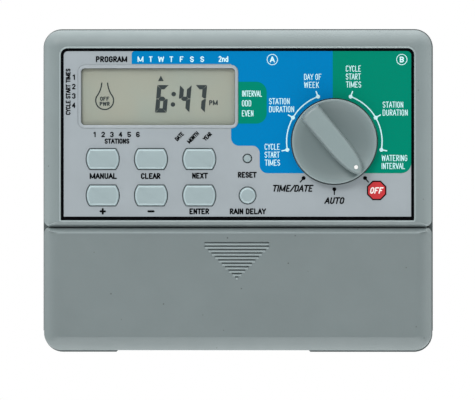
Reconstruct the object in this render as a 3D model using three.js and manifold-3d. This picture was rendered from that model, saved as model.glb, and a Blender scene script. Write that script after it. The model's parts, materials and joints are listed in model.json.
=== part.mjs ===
// A six-station indoor irrigation controller for wall mounting, as a bench-strippable assembly.
// Frame: millimetres, +Z up, +X to the right as seen by the user, +Y into the wall.
// The origin is the middle of the back face, so the wall is the plane y = 0 and the front is at negative y.
import * as THREE from "three";
import { mergeVertices } from "three/addons/utils/BufferGeometryUtils.js";
import Module from "manifold-3d";

const wasm = await Module();
wasm.setup();

// ---- driving dimensions -------------------------------------------------------------------------
const CASE_HALF_W = 97.5; // rear case, half of its 195 mm width
const CASE_HALF_H = 80.95; // rear case, half of its 161.9 mm height
const CASE_CORNER = 9.3; // corner radius of the rear case in front view
const WALL = 2.2; // moulded wall thickness
const STEP_IN = 0.9; // how far the front shells stand inside the rear case's outline
const GAP = 0.1; // clearance between parts that rest on each other

const PARTING_Y = -20; // rim of the rear case, where the front shells begin
const LOW_PARTING_Y = -12; // rim of the rear case along its bottom wall
const LOW_RIM_Z = -70; // below this the rim drops to LOW_PARTING_Y
const FRONT_Y = -40; // outermost plane of the front shells
const EDGE_ROUND = 8; // rounding of the front shells' outer edges
const SEAM_ROUND = 2.5; // rounding of both edges of the seam
const SEAM_TOP_Z = -17.7; // lower edge of the front case
const SEAM_LOW_Z = -18.1; // upper edge of the terminal cover

const FRONT_HALF_W = CASE_HALF_W - STEP_IN;
const FRONT_TOP = CASE_HALF_H - STEP_IN;
const COVER_BOTTOM = -79.35; // leaves a ledge of the rear case to be seen below it
const FRONT_CORNER = 8.6; // corner radius of the front shells in front view

const POCKET_Y = -39; // floor of the shallow pocket that the faceplate lies in
const PLATE_THICK = 0.6;
const PLATE_BACK_Y = POCKET_Y - 0.05;
const PLATE_FRONT_Y = PLATE_BACK_Y - PLATE_THICK;
const INNER_FRONT_Y = POCKET_Y + WALL; // inside of the front wall
const POCKET = { x0: -87.9, x1: 87.75, z0: -14.6, z1: 70.9, corner: 3.4 };

const DISPLAY = { x: -39.5, z: 46.8, w: 76.4, h: 28.2, corner: 1.8, lip: 1.7 };
const WINDOW = { w: 82.6, h: 34.6, thick: 1 }; // it and the glass lie in an opening of the front wall
const GLASS = { w: 82.4, h: 34.4, thick: 2.2 };
const KEY_COLUMNS = [-67, -43, -19];
const KEY_ROWS = [15.8, -2.3];
const KEY = { w: 17, h: 10.9, flat: 13.1, gap: 0.4 };
const KEY_FRONT_Y = -41;
const RESET_FRONT_Y = -39.5; // just below the faceplate, so that it isn't pressed by mistake
const KEY_TRAVEL = 0.8;
const RAIN = { x: 5, z: -2.3, r: 4.45 };
const RESET = { x: 4.9, z: 16.1, r: 2.4 };

const DIAL = { x: 48.1, z: 24.5, r: 21.05, wellR: 21.6 };
const DIAL_REST_DEG = 140; // clockwise from straight up: the off position
const WELL_FLOOR_Y = -37.4; // floor of the round well that the dial turns in
const RIM_Y = -43; // front of the dial's rim
const GRIP_Y = -49.4; // front of the dial's grip
const SHAFT_R = 3;

const BOARD = { y0: -26, y1: -24.4, halfW: 85, z0: -13, z1: 74 };
const SWITCH_FRONT_Y = BOARD.y0 - 3.6; // front of each tactile switch

const CASE_SCREWS = [
  [-89.5, 70],
  [89.5, 70],
  [-89.5, -9],
  [89.5, -9],
];

const TERMINALS = { count: 10, pitch: 10, x0: -72, z: -40, y: -24 };
const TERMINAL_BOARD = { x0: -78, x1: 34, z0: -48, z1: -3, y0: -9.6, y1: -8 };
const BATTERY = { x0: 38.6, x1: 87.1, z0: -76, z1: -49.5, y0: -20.2, y1: -2.7 };
const CABLE_SLOT = { x0: -60.6, x1: 34.5 };
const RAIL_X = 88.5; // inner face of the channel that guides the terminal cover
const GROOVES = { count: 11, pitch: 1.7, top: -25.8, half: 16.2, depth: 0.75 };
const KEYHOLE = { z: 58, headR: 4.6, slotR: 2.4, rise: 9 };

// ---- solids -------------------------------------------------------------------------------------
// A closed geometry as a manifold-3d solid.
function solid(geometry) {
  const bare = geometry.clone();
  bare.deleteAttribute("normal");
  bare.deleteAttribute("uv");
  const merged = mergeVertices(bare, 1e-4);
  return new wasm.Manifold(
    new wasm.Mesh({
      numProp: 3,
      vertProperties: merged.attributes.position.array,
      triVerts: new Uint32Array(merged.index.array),
    }),
  );
}

const join = (...pieces) => pieces.reduce((a, b) => a.add(b));
const cut = (body, ...tools) => tools.reduce((a, b) => a.subtract(b), body);

// The geometry of a manifold-3d solid, with flat faces.
function geometryOf(body) {
  const { vertProperties, triVerts, numProp, numVert } = body.getMesh();
  const corners = new Float32Array(numVert * 3);
  for (let i = 0; i < numVert; i++) {
    corners.set(vertProperties.subarray(i * numProp, i * numProp + 3), i * 3);
  }
  const geometry = new THREE.BufferGeometry();
  geometry.setAttribute("position", new THREE.BufferAttribute(corners, 3));
  geometry.setIndex(new THREE.BufferAttribute(new Uint32Array(triVerts), 1));
  const flat = geometry.toNonIndexed();
  flat.computeVertexNormals();
  return flat;
}

// An outline in front view (x, z), extruded along y from the far end yBack to the near end yFront.
function slab(outline, yFront, yBack, steps = 8) {
  const geometry = new THREE.ExtrudeGeometry(outline, {
    depth: yBack - yFront,
    bevelEnabled: false,
    curveSegments: steps,
  });
  geometry.translate(0, 0, -yBack).rotateX(Math.PI / 2);
  return solid(geometry);
}

// The same with its front edge (or its back edge) rounded by a quarter circle.
function roundedSlab(outline, yFront, yBack, radius, { steps = 6, end = "front", arcs = 8 } = {}) {
  const geometry = new THREE.ExtrudeGeometry(outline, {
    depth: yBack - yFront,
    bevelEnabled: true,
    bevelSize: radius,
    bevelThickness: radius,
    bevelOffset: -radius,
    bevelSegments: steps,
    curveSegments: arcs,
  });
  geometry.translate(0, 0, end === "front" ? -yBack - radius : -yBack + radius);
  geometry.rotateX(Math.PI / 2);
  return solid(geometry).intersect(box([-300, yFront, -300], [300, yBack, 300]));
}

function box([x0, y0, z0], [x1, y1, z1]) {
  const geometry = new THREE.BoxGeometry(x1 - x0, y1 - y0, z1 - z0);
  geometry.translate((x0 + x1) / 2, (y0 + y1) / 2, (z0 + z1) / 2);
  return solid(geometry);
}

// A round bar along y at (x, z).
function rod(x, z, radius, yFront, yBack, sides = 16) {
  const geometry = new THREE.CylinderGeometry(radius, radius, yBack - yFront, sides);
  geometry.translate(x, (yFront + yBack) / 2, z);
  return solid(geometry);
}

// An outline in side view (y, z), extruded along x.
function beam(outline, x0, x1) {
  const geometry = new THREE.ExtrudeGeometry(outline, {
    depth: x1 - x0,
    bevelEnabled: false,
    curveSegments: 4,
  });
  const toSideView = new THREE.Matrix4().makeBasis(
    new THREE.Vector3(0, 1, 0),
    new THREE.Vector3(0, 0, 1),
    new THREE.Vector3(1, 0, 0),
  );
  geometry.applyMatrix4(toSideView).translate(x0, 0, 0);
  return solid(geometry);
}

const profile = (points) => new THREE.Shape(points.map(([y, z]) => new THREE.Vector2(y, z)));

// A round pin along x at (y, z).
function pin(x0, x1, y, z, radius) {
  const geometry = new THREE.CylinderGeometry(radius, radius, x1 - x0, 16);
  geometry.rotateZ(Math.PI / 2).translate((x0 + x1) / 2, y, z);
  return solid(geometry);
}

// ---- outlines in front view ---------------------------------------------------------------------
function roundedRect(x0, x1, z0, z1, top, bottom = top) {
  const shape = new THREE.Shape();
  const quarter = Math.PI / 2;
  shape.moveTo(x0 + bottom, z0);
  shape.lineTo(x1 - bottom, z0);
  if (bottom) shape.absarc(x1 - bottom, z0 + bottom, bottom, -quarter, 0);
  shape.lineTo(x1, z1 - top);
  if (top) shape.absarc(x1 - top, z1 - top, top, 0, quarter);
  shape.lineTo(x0 + top, z1);
  if (top) shape.absarc(x0 + top, z1 - top, top, quarter, 2 * quarter);
  shape.lineTo(x0, z0 + bottom);
  if (bottom) shape.absarc(x0 + bottom, z0 + bottom, bottom, 2 * quarter, 3 * quarter);
  return shape;
}

const centredRect = (x, z, w, h, r) => roundedRect(x - w / 2, x + w / 2, z - h / 2, z + h / 2, r);

function disc(x, z, radius) {
  const shape = new THREE.Shape();
  shape.absarc(x, z, radius, 0, 2 * Math.PI);
  return shape;
}

// Flat above and below, bowed outwards at both ends: the outline of a key or of its hole.
function barrel(x, z, grow = 0) {
  const halfH = KEY.h / 2;
  const bow = (KEY.w - KEY.flat) / 2;
  const sideR = (halfH ** 2 + bow ** 2) / (2 * bow) + grow;
  const h = halfH + grow;
  const centre = KEY.w / 2 + grow - sideR;
  const sweep = Math.asin(h / sideR);
  const shape = new THREE.Shape();
  shape.absarc(x + centre, z, sideR, -sweep, sweep);
  shape.absarc(x - centre, z, sideR, Math.PI - sweep, Math.PI + sweep);
  return shape;
}

// ---- materials ----------------------------------------------------------------------------------
const finish = (color, roughness, metalness = 0, extra = {}) =>
  new THREE.MeshStandardMaterial({ color, roughness, metalness, ...extra });

const casing = finish(0x8b9698, 0.55);
const coverPlastic = finish(0x7f898a, 0.55);
const dialPlastic = finish(0x84918f, 0.5);
const overlay = finish(0xa8b1b6, 0.4);
const keyPlastic = finish(0xa3b5b8, 0.45);
const clear = finish(0xffffff, 0.08, 0, { transparent: true, opacity: 0.3 });
const liquidCrystal = finish(0x9da49b, 0.3);
const blackPlastic = finish(0x17191b, 0.5);
const whitePaint = finish(0xf4f4f2, 0.5);
const laminate = finish(0x1d6b3c, 0.45);
const steel = finish(0xb4b8bb, 0.3, 1);
const terminalPlastic = finish(0x2c7a45, 0.5);
const rubber = finish(0x2a2c2e, 0.8);
const batteryWrap = finish(0x30343c, 0.35);
const redWire = finish(0xb02020, 0.5);
const silicon = finish(0x202224, 0.4);
const capSleeve = finish(0x23324f, 0.4);

// ---- assembly -----------------------------------------------------------------------------------
const controller = new THREE.Group();

function place(name, body, material, parent = controller) {
  const mesh = new THREE.Mesh(geometryOf(body), material);
  mesh.name = name;
  parent.add(mesh);
  return mesh;
}

// Tray behind everything: wall plate, screw wells, cover channels, cable slot and battery cradle.
function rearCase() {
  const outline = roundedRect(-CASE_HALF_W, CASE_HALF_W, -CASE_HALF_H, CASE_HALF_H, CASE_CORNER);
  const inW = CASE_HALF_W - WALL;
  const inH = CASE_HALF_H - WALL;
  const shell = roundedSlab(outline, PARTING_Y, 0, 1, { steps: 2, end: "back", arcs: 6 });
  const hollow = slab(roundedRect(-inW, inW, -inH, inH, CASE_CORNER - WALL), PARTING_Y - 1, -WALL, 6);
  let body = cut(shell, hollow);
  // Screw wells stand on the plate and meet the front case's bosses.
  for (const [x, z] of CASE_SCREWS) body = join(body, rod(x, z, 4.2, PARTING_Y, -WALL + 0.5));
  // The channel on each side: an upright wall with a lip that keeps the cover's tongue down.
  for (const side of [-1, 1]) {
    const wall = [side * RAIL_X, side * (RAIL_X + 2)].sort((a, b) => a - b);
    const lip = [side * RAIL_X, side * (RAIL_X + 3.6)].sort((a, b) => a - b);
    body = join(
      body,
      box([wall[0], -18.5, -68], [wall[1], -WALL + 0.5, -21.5]),
      box([lip[0], -18.5, -68], [lip[1], -16.3, -21.5]),
    );
  }
  // Battery cradle, posts for the terminal board and a stiffening rib across the middle.
  body = join(
    body,
    box([BATTERY.x0 + 3, -14, BATTERY.z1 + 0.4], [BATTERY.x1 - 3, -WALL + 0.5, BATTERY.z1 + 2]),
    box([BATTERY.x0 - 8, -7, BATTERY.z0 - 1.2], [BATTERY.x0 - 6.4, -WALL + 0.5, BATTERY.z1 + 2]),
    box([-93, -6, 10], [93, -WALL + 0.5, 11.6]),
  );
  for (const [x, z] of [[-74, -8], [30, -8], [-74, -44], [30, -44]]) {
    body = join(body, rod(x, z, 3, TERMINAL_BOARD.y1 + GAP, -WALL + 0.5, 16));
  }
  const lowRim = box([-99, -21, -90], [99, LOW_PARTING_Y, LOW_RIM_Z]);
  const slope = 1.6;
  const slot = new THREE.Shape([
    new THREE.Vector2(CABLE_SLOT.x0 - slope, -CASE_HALF_H - 1),
    new THREE.Vector2(CABLE_SLOT.x1 + slope, -CASE_HALF_H - 1),
    new THREE.Vector2(CABLE_SLOT.x1, -CASE_HALF_H + 1),
    new THREE.Vector2(CABLE_SLOT.x1, -CASE_HALF_H + 3.4),
    new THREE.Vector2(CABLE_SLOT.x0, -CASE_HALF_H + 3.4),
    new THREE.Vector2(CABLE_SLOT.x0, -CASE_HALF_H + 1),
  ]);
  body = cut(body, lowRim, slab(slot, -22, 1));
  for (const [x, z] of CASE_SCREWS) {
    body = cut(body, rod(x, z, 3.1, -15, 1), rod(x, z, 1.7, PARTING_Y - 1, 1, 16));
  }
  // Keyhole at the top and an upright slot low in the wiring bay.
  const { z, headR, slotR, rise } = KEYHOLE;
  return cut(
    body,
    rod(0, z, headR, -4, 1),
    slab(centredRect(0, z + rise / 2, 2 * slotR, rise + 2 * slotR, slotR - 0.01), -4, 1, 4),
    slab(centredRect(0, -60, 2 * slotR, 9, slotR - 0.01), -4, 1, 4),
  );
}

// Outer form that both front shells share: rounded all round.
const frontForm = (yBack) =>
  roundedSlab(
    roundedRect(-FRONT_HALF_W, FRONT_HALF_W, COVER_BOTTOM, FRONT_TOP, FRONT_CORNER),
    FRONT_Y,
    yBack,
    EDGE_ROUND,
    { steps: 5, arcs: 5 },
  );

// Upper shell: carries the faceplate, the display, the keys, the dial and the control board.
function frontCase() {
  const back = PARTING_Y - 0.2;
  const upper = roundedSlab(
    roundedRect(-FRONT_HALF_W, FRONT_HALF_W, SEAM_TOP_Z, FRONT_TOP, FRONT_CORNER, SEAM_ROUND + 0.2),
    FRONT_Y,
    back,
    SEAM_ROUND,
    { steps: 4, arcs: 6 },
  );
  const inW = FRONT_HALF_W - WALL;
  const hollow = roundedSlab(
    roundedRect(-inW, inW, SEAM_TOP_Z + WALL, FRONT_TOP - WALL, FRONT_CORNER - WALL, 0),
    INNER_FRONT_Y,
    back + 1,
    EDGE_ROUND / 2,
    { steps: 2, arcs: 3 },
  );
  let body = cut(frontForm(back).intersect(upper), hollow);
  // The floor of the upper chamber reaches back into the tray, over the wiring bay.
  body = join(body, box([-inW + 0.2, back - 1, SEAM_TOP_Z], [inW - 0.2, -13, SEAM_TOP_Z + WALL]));
  for (const [x, z] of CASE_SCREWS) body = join(body, rod(x, z, 3.5, INNER_FRONT_Y - 0.5, back));
  // Posts and snap hooks that hold the control board.
  for (const [x, z] of [[-70, 70], [70, 70], [-81, -11], [81, -11]]) {
    body = join(body, rod(x, z, 2.5, INNER_FRONT_Y - 0.5, BOARD.y0 - GAP, 12));
  }
  // Well for the dial, with a thicker floor behind it.
  body = join(body, rod(DIAL.x, DIAL.z, DIAL.wellR + 2.2, INNER_FRONT_Y - 0.5, WELL_FLOOR_Y + 2, 32));
  const { x0, x1, z0, z1, corner } = POCKET;
  const pocket = slab(roundedRect(x0, x1, z0, z1, corner, 0.4), FRONT_Y - 1, POCKET_Y, 5);
  body = cut(
    body,
    pocket,
    rod(DIAL.x, DIAL.z, DIAL.wellR, FRONT_Y - 1, WELL_FLOOR_Y, 48),
    rod(DIAL.x, DIAL.z, SHAFT_R + 0.8, FRONT_Y - 1, WELL_FLOOR_Y + 3, 24),
    slab(centredRect(DISPLAY.x, DISPLAY.z, WINDOW.w + 2 * GAP, WINDOW.h + 2 * GAP, 1), -42, -35, 3),
    rod(RAIN.x, RAIN.z, RAIN.r, FRONT_Y - 1, -35, 32),
    rod(RESET.x, RESET.z, RESET.r, FRONT_Y - 1, -35, 20),
  );
  for (const z of KEY_ROWS) for (const x of KEY_COLUMNS) body = cut(body, slab(barrel(x, z), -42, -35, 3));
  for (const [x, z] of CASE_SCREWS) body = cut(body, rod(x, z, 1.5, -34, back + 1, 12));
  return body;
}

// Lower shell: slides down on its two tongues to open the wiring bay.
function terminalCover() {
  const back = LOW_PARTING_Y - 0.2;
  const lower = roundedSlab(
    roundedRect(-FRONT_HALF_W, FRONT_HALF_W, COVER_BOTTOM, SEAM_LOW_Z, SEAM_ROUND + 0.2, FRONT_CORNER),
    FRONT_Y,
    back,
    SEAM_ROUND,
    { steps: 4, arcs: 6 },
  );
  const inW = FRONT_HALF_W - WALL;
  const hollow = join(
    roundedSlab(
      roundedRect(-inW, inW, COVER_BOTTOM + WALL, SEAM_LOW_Z - WALL, 0, FRONT_CORNER - WALL),
      FRONT_Y + WALL,
      back + 1,
      EDGE_ROUND - WALL,
      { steps: 3, arcs: 3 },
    ),
    box([-inW, -35, -60], [inW, back + 1, SEAM_LOW_Z + 1]),
  );
  // A crease where the front face turns down to the bottom edge.
  const f = FRONT_Y;
  const b = COVER_BOTTOM;
  const crease = profile([
    [f, 0], [f, b + 7.2], [f + 2.6, b + 2.4], [f + 5.5, b + 0.45], [f + 8, b], [0, b], [0, 0],
  ]);
  let body = cut(
    frontForm(back).intersect(lower).intersect(beam(crease, -120, 120)),
    hollow,
    box([-99, PARTING_Y - 0.2, LOW_RIM_Z - 0.2], [99, 1, 1]),
  );
  // Tongues: a blade beside each channel lip, with a bead that hooks behind it.
  for (const side of [-1, 1]) {
    const blade = [side * 92.5, side * 94.5].sort((a, c) => a - c);
    const bead = [side * 91.1, side * 94.5].sort((a, c) => a - c);
    body = join(
      body,
      box([blade[0], -24, -66], [blade[1], -13.5, -23]),
      box([bead[0], -15.6, -66], [bead[1], -13.5, -23]),
    );
  }
  // Finger grip: V grooves stacked into a triangle that points the way the cover slides.
  const { count, pitch, top, half, depth } = GROOVES;
  for (let i = 0; i < count; i++) {
    const z = top - i * pitch;
    const reach = half - Math.max(0, i - 1) * pitch;
    const groove = profile([
      [f - 1, z + 1], [f - 1, z - 1], [f, z - pitch / 2], [f + depth, z], [f, z + pitch / 2],
    ]);
    body = cut(body, beam(groove, -reach, reach));
  }
  return body;
}

// Printed overlay: one flat sheet with the holes for display, keys and dial.
function faceplate() {
  const inset = 0.15;
  const { x0, x1, z0, z1 } = POCKET;
  const outline = roundedRect(x0 + inset, x1 - inset, z0 + inset, z1 - inset, POCKET.corner - inset, 0.3);
  const { x, z, w, h, corner, lip } = DISPLAY;
  outline.holes.push(
    centredRect(x, z, w + 2 * lip, h + 2 * lip, corner + lip),
    ...KEY_ROWS.flatMap((row) => KEY_COLUMNS.map((column) => barrel(column, row))),
  );
  const through = [FRONT_Y - 1, POCKET_Y + 1];
  return cut(
    slab(outline, PLATE_FRONT_Y, PLATE_BACK_Y, 4),
    rod(DIAL.x, DIAL.z, DIAL.wellR, ...through, 48),
    rod(RAIN.x, RAIN.z, RAIN.r, ...through, 32),
    rod(RESET.x, RESET.z, RESET.r, ...through, 20),
  );
}

function frameRing(outer, inner, yFront, yBack) {
  outer.holes.push(inner);
  return slab(outer, yFront, yBack, 5);
}

// Raised lip, clear window and display glass, with the frame and contact strips behind the glass.
function display() {
  const { x, z, w, h, corner, lip } = DISPLAY;
  const wide = w + 2 * lip - 2 * GAP;
  const high = h + 2 * lip - 2 * GAP;
  const lipForm = frameRing(
    centredRect(x, z, wide, high, corner + lip - GAP),
    centredRect(x, z, w, h, corner),
    PLATE_FRONT_Y - 0.35,
    PLATE_BACK_Y,
  );
  place("display_bezel", lipForm, overlay);
  const windowY = PLATE_BACK_Y + GAP;
  const windowBack = windowY + WINDOW.thick;
  place("display_window", slab(centredRect(x, z, WINDOW.w, WINDOW.h, 0.9), windowY, windowBack, 3), clear);
  const glassY = windowBack + GAP;
  const glassBack = glassY + GLASS.thick;
  place("lcd_glass", slab(centredRect(x, z, GLASS.w, GLASS.h, 0.9), glassY, glassBack, 3), liquidCrystal);
  const holder = frameRing(
    centredRect(x, z, GLASS.w + 5, GLASS.h + 5, 1),
    centredRect(x, z, GLASS.w + 2 * GAP, GLASS.h + 2 * GAP, 0.9),
    INNER_FRONT_Y + GAP,
    BOARD.y0 - GAP,
  );
  place("lcd_holder", holder, blackPlastic);
  for (const [name, offset] of [["upper", 15.5], ["lower", -15.5]]) {
    const strip = box(
      [x - 38, glassBack + GAP, z + offset - 1],
      [x + 38, BOARD.y0 - GAP, z + offset + 1],
    );
    place(`lcd_elastomer_${name}`, strip, rubber);
  }
}

// One key: a cap through the faceplate, a flange behind the front wall and a stem to its switch.
function key(cap, flange, x, z, capFront) {
  const flangeY = INNER_FRONT_Y + GAP;
  return join(
    cap(capFront, flangeY + 0.3),
    flange(flangeY, flangeY + 1.2),
    rod(x, z, 1.7, flangeY + 1, SWITCH_FRONT_Y + 0.3, 12),
  );
}

// Housing of a tactile switch, hollow in the middle where the key's stem travels.
function tactSwitch(x, z) {
  const body = box([x - 3, SWITCH_FRONT_Y, z - 3], [x + 3, BOARD.y0 - GAP, z + 3]);
  const dome = rod(x, z, 1.95, SWITCH_FRONT_Y - 1, SWITCH_FRONT_Y + 0.3 + KEY_TRAVEL + 0.4, 16);
  return cut(body, dome);
}

function keys() {
  const names = [
    ["manual", "clear", "next"],
    ["plus", "minus", "enter"],
  ];
  names.forEach((row, r) =>
    row.forEach((name, c) => {
      const x = KEY_COLUMNS[c];
      const z = KEY_ROWS[r];
      const cap = (yFront, yBack) =>
        roundedSlab(barrel(x, z, -KEY.gap), yFront, yBack, 0.8, { steps: 2, arcs: 3 });
      const flange = (yFront, yBack) => slab(barrel(x, z, 0.9), yFront, yBack, 2);
      place(`key_${name}`, key(cap, flange, x, z, KEY_FRONT_Y), keyPlastic);
      place(`tact_switch_${name}`, tactSwitch(x, z), blackPlastic);
    }),
  );
  const round = (name, { x, z, r }, capFront, edge) => {
    const cap = (yFront, yBack) =>
      roundedSlab(disc(x, z, r - KEY.gap), yFront, yBack, edge, { steps: 2, arcs: 10 });
    const flange = (yFront, yBack) => slab(disc(x, z, r + 0.9), yFront, yBack, 12);
    place(`key_${name}`, key(cap, flange, x, z, capFront), keyPlastic);
    place(`tact_switch_${name}`, tactSwitch(x, z), blackPlastic);
  };
  round("rain_delay", RAIN, KEY_FRONT_Y, 0.8);
  round("reset", RESET, RESET_FRONT_Y, 0.3);
}

// The dial is modelled pointing straight up about its own axis, then turned to its rest position.
function dial() {
  const turned = new THREE.Group();
  turned.position.set(DIAL.x, 0, DIAL.z);
  turned.rotation.y = THREE.MathUtils.degToRad(DIAL_REST_DEG);
  controller.add(turned);

  const skirt = new THREE.LatheGeometry(
    [
      [0, -WELL_FLOOR_Y + 0.9],
      [DIAL.r, -WELL_FLOOR_Y + 0.9],
      [DIAL.r, -RIM_Y - 0.5],
      [DIAL.r - 0.5, -RIM_Y],
      [DIAL.r - 1.6, -RIM_Y - 0.15],
      [14, -RIM_Y - 1.0],
      [8, -RIM_Y - 1.6],
      [0, -RIM_Y - 1.8],
    ].map(([r, y]) => new THREE.Vector2(r, y)),
    48,
  );
  // The lathe's axis points the other way, so mirror it and turn its faces outwards again.
  skirt.scale(1, -1, 1);
  skirt.index.array.forEach((_, i, all) => {
    if (i % 3 === 0) [all[i + 1], all[i + 2]] = [all[i + 2], all[i + 1]];
  });
  // Grip: blunt where it runs out to the rim, drawn to a rounded point at the other end.
  const grip = new THREE.Shape();
  grip.moveTo(-5.3, -22);
  grip.lineTo(5.3, -22);
  grip.lineTo(5.3, 6);
  grip.bezierCurveTo(5.3, 12, 3.4, 17, 1.2, 20);
  grip.quadraticCurveTo(0, 20.8, -1.2, 20);
  grip.bezierCurveTo(-3.4, 17, -5.3, 12, -5.3, 6);
  const blade = roundedSlab(grip, GRIP_Y, RIM_Y + 4, 0.9, { steps: 2, arcs: 6 });
  const limit = rod(0, 0, DIAL.r - 0.05, GRIP_Y - 1, 0, 48);
  const bore = rod(0, 0, SHAFT_R + GAP, -46.2, 0, 24);
  const dotSeat = rod(0, 16.9, 1.15, GRIP_Y - 1, GRIP_Y + 0.3, 20);
  place("dial_knob", cut(join(solid(skirt), blade.intersect(limit)), bore, dotSeat), dialPlastic, turned);
  place("dial_pointer_dot", rod(0, 16.9, 1.03, GRIP_Y - 0.1, GRIP_Y + 0.2, 20), whitePaint, turned);
  const flat = box([-SHAFT_R, -50, 2.3], [SHAFT_R, -38.5, 6]);
  place("dial_shaft", cut(rod(0, 0, SHAFT_R, -46, BOARD.y0 - 3, 24), flat), steel, turned);
  const housing = join(
    slab(centredRect(DIAL.x, DIAL.z, 24, 24, 2), BOARD.y0 - 6, BOARD.y0 - GAP, 3),
    rod(DIAL.x, DIAL.z, 4.6, BOARD.y0 - 8.2, BOARD.y0 - 5, 24),
  );
  const seat = rod(DIAL.x, DIAL.z, SHAFT_R + 0.12, -40, BOARD.y0 - 2.7, 24);
  place("rotary_switch", cut(housing, seat), blackPlastic);
}

// Board behind the keys and the dial, with its parts on the rear side.
function controlBoard() {
  const { y0, y1, halfW, z0, z1 } = BOARD;
  // The upper corners are cut away round the screw bosses.
  const notches = [-90, 90].map((x) => box([x - 7, y0 - 1, 61], [x + 7, y1 + 1, 80]));
  place("control_board", cut(box([-halfW, y0, z0], [halfW, y1, z1]), ...notches), laminate);
  const rear = y1 + GAP;
  place("microcontroller", box([8, rear, 30], [22, rear + 1.6, 44]), silicon);
  place("crystal", slab(centredRect(32, 37, 4.6, 11, 2.2), rear, rear + 3.6, 4), steel);
  place("board_link_header", box([-32, rear, -11], [-8, TERMINAL_BOARD.y0 - GAP, -6]), blackPlastic);
}

// Board in the wiring bay, with the terminals and the power parts on its front side.
function terminalBoard() {
  const { x0, x1, z0, z1, y0, y1 } = TERMINAL_BOARD;
  place("terminal_board", box([x0, y0, z0], [x1, y1, z1]), laminate);
  const front = y0 - GAP;
  terminalBlock(front);
  place("filter_capacitor", rod(-58, -9, 5, front - 12.5, front, 24), capSleeve);
  place("bridge_rectifier", rod(-42, -9, 4.6, front - 5.5, front, 20), silicon);
  place("surge_varistor", slab(centredRect(-60, -23.5, 13, 4.5, 2), front - 11, front, 4), redWire);
  place("fuse", fuse(8, 26, -23.5, front), steel);
  // Station output triacs: flat-fronted packages on one moulded strip.
  let triacs = box([-48, front - 2.2, -24.6], [0, front, -22.4]);
  for (let i = 0; i < 7; i++) {
    const x = -46 + i * 7;
    const round = rod(x, -23.4, 2.4, front - 6.5, front - 1, 16);
    triacs = join(triacs, cut(round, box([x - 3, front - 8, -27], [x + 3, front + 1, -24.8])));
  }
  place("triac_row", triacs, silicon);
}

// A small glass fuse lying in its two clips, all one metal and glass piece on the board.
function fuse(x0, x1, z, front) {
  const clip = (x) => box([x, front - 3.5, z - 2.9], [x + 5, front, z + 2.9]);
  return join(pin(x0, x1, front - 4.4, z, 2.4), clip(x0), clip(x1 - 5));
}

// Barrier strip with one screw for each conductor.
function terminalBlock(front) {
  const { count, pitch, x0, z, y } = TERMINALS;
  const x1 = x0 + count * pitch + 1.4;
  const step = profile([
    [front, z - 7], [-17, z - 7], [-17, z + 3], [y + 1, z + 3], [y + 1, z + 7], [front, z + 7],
  ]);
  let strip = beam(step, x0, x1);
  for (let i = 0; i <= count; i++) {
    const x = x0 + i * pitch;
    strip = join(strip, box([x, y, z - 7], [x + 1.4, front, z + 7]));
  }
  for (let i = 0; i < count; i++) {
    const x = x0 + 0.7 + (i + 0.5) * pitch;
    strip = cut(strip, rod(x, z - 2.3, 1.7, -20, -11.5, 12));
  }
  place("terminal_block", strip, terminalPlastic);
  const labels = ["24v_a", "24v_b", "master_valve", "common", "1", "2", "3", "4", "5", "6"];
  labels.forEach((label, i) => {
    const x = x0 + 0.7 + (i + 0.5) * pitch;
    const head = -17 - GAP;
    const screw = join(
      box([x - 4, head - 0.9, z - 6.4], [x + 4, head, z + 1.8]),
      rod(x, z - 2.3, 3.1, head - 2.9, head - 0.8, 20),
      rod(x, z - 2.3, 1.45, head - 0.5, -12, 12),
    );
    const slot = box([x - 4, head - 4, z - 2.75], [x + 4, head - 2, z - 1.85]);
    place(`terminal_screw_${label}`, cut(screw, slot), steel);
  });
}

// Back-up battery in its cradle, the snap on its terminal end, and the two leads to the board.
function battery() {
  const { x0, x1, z0, z1, y0, y1 } = BATTERY;
  const zMid = (z0 + z1) / 2;
  const yMid = (y0 + y1) / 2;
  const studZs = [zMid - 6.35, zMid + 6.35];
  const wrap = beam(roundedRect(y0, y1, z0, z1, 2.5), x0 + 2.6, x1);
  const studs = studZs.map((z) => pin(x0 - 0.2, x0 + 2.8, yMid, z, 2.8));
  place("battery", join(wrap, ...studs), batteryWrap);
  const snapBody = box([x0 - 2.4, yMid - 5.5, zMid - 12], [x0 + 2.2, yMid + 5.5, zMid + 12]);
  const sockets = studZs.map((z) => pin(x0 - 0.3, x0 + 3.7, yMid, z, 3.1));
  place("battery_snap", cut(snapBody, ...sockets), rubber);
  lead("battery_lead_red", redWire, [
    [-2.5, -0.15, 7.2],
    [-4.9, -1.35, 11.2],
    [-4.9, -1.75, 16.2],
    [-4.9, -0.5, 20.3],
    [-4.9, 1.55, 20.6],
  ]);
  lead("battery_lead_black", rubber, [
    [-2.1, -0.15, -6.8],
    [-3.5, -1.75, -2.2],
    [-3, -3.05, 5.8],
    [-3, -2.75, 13.8],
    [-3, -0.7, 16.8],
    [-3, 1.55, 17],
  ]);
}

// A thin insulated lead from the battery snap to its solder pad on the terminal board. The route's
// points are given from the middle of the snap's outer face.
function lead(name, material, route) {
  const x = BATTERY.x0 - 2.4 - GAP;
  const y = (BATTERY.y0 + BATTERY.y1) / 2;
  const z = (BATTERY.z0 + BATTERY.z1) / 2;
  const start = new THREE.Vector3(x, y, z + route[0][2] - 0.2);
  const points = route.map(([dx, dy, dz]) => new THREE.Vector3(x + dx, y + dy, z + dz));
  const curve = new THREE.CatmullRomCurve3([start, ...points]);
  const geometry = new THREE.ExtrudeGeometry(disc(0, 0, 0.65), {
    steps: 14,
    extrudePath: curve,
    curveSegments: 4,
  });
  place(name, solid(geometry), material);
}

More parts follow.
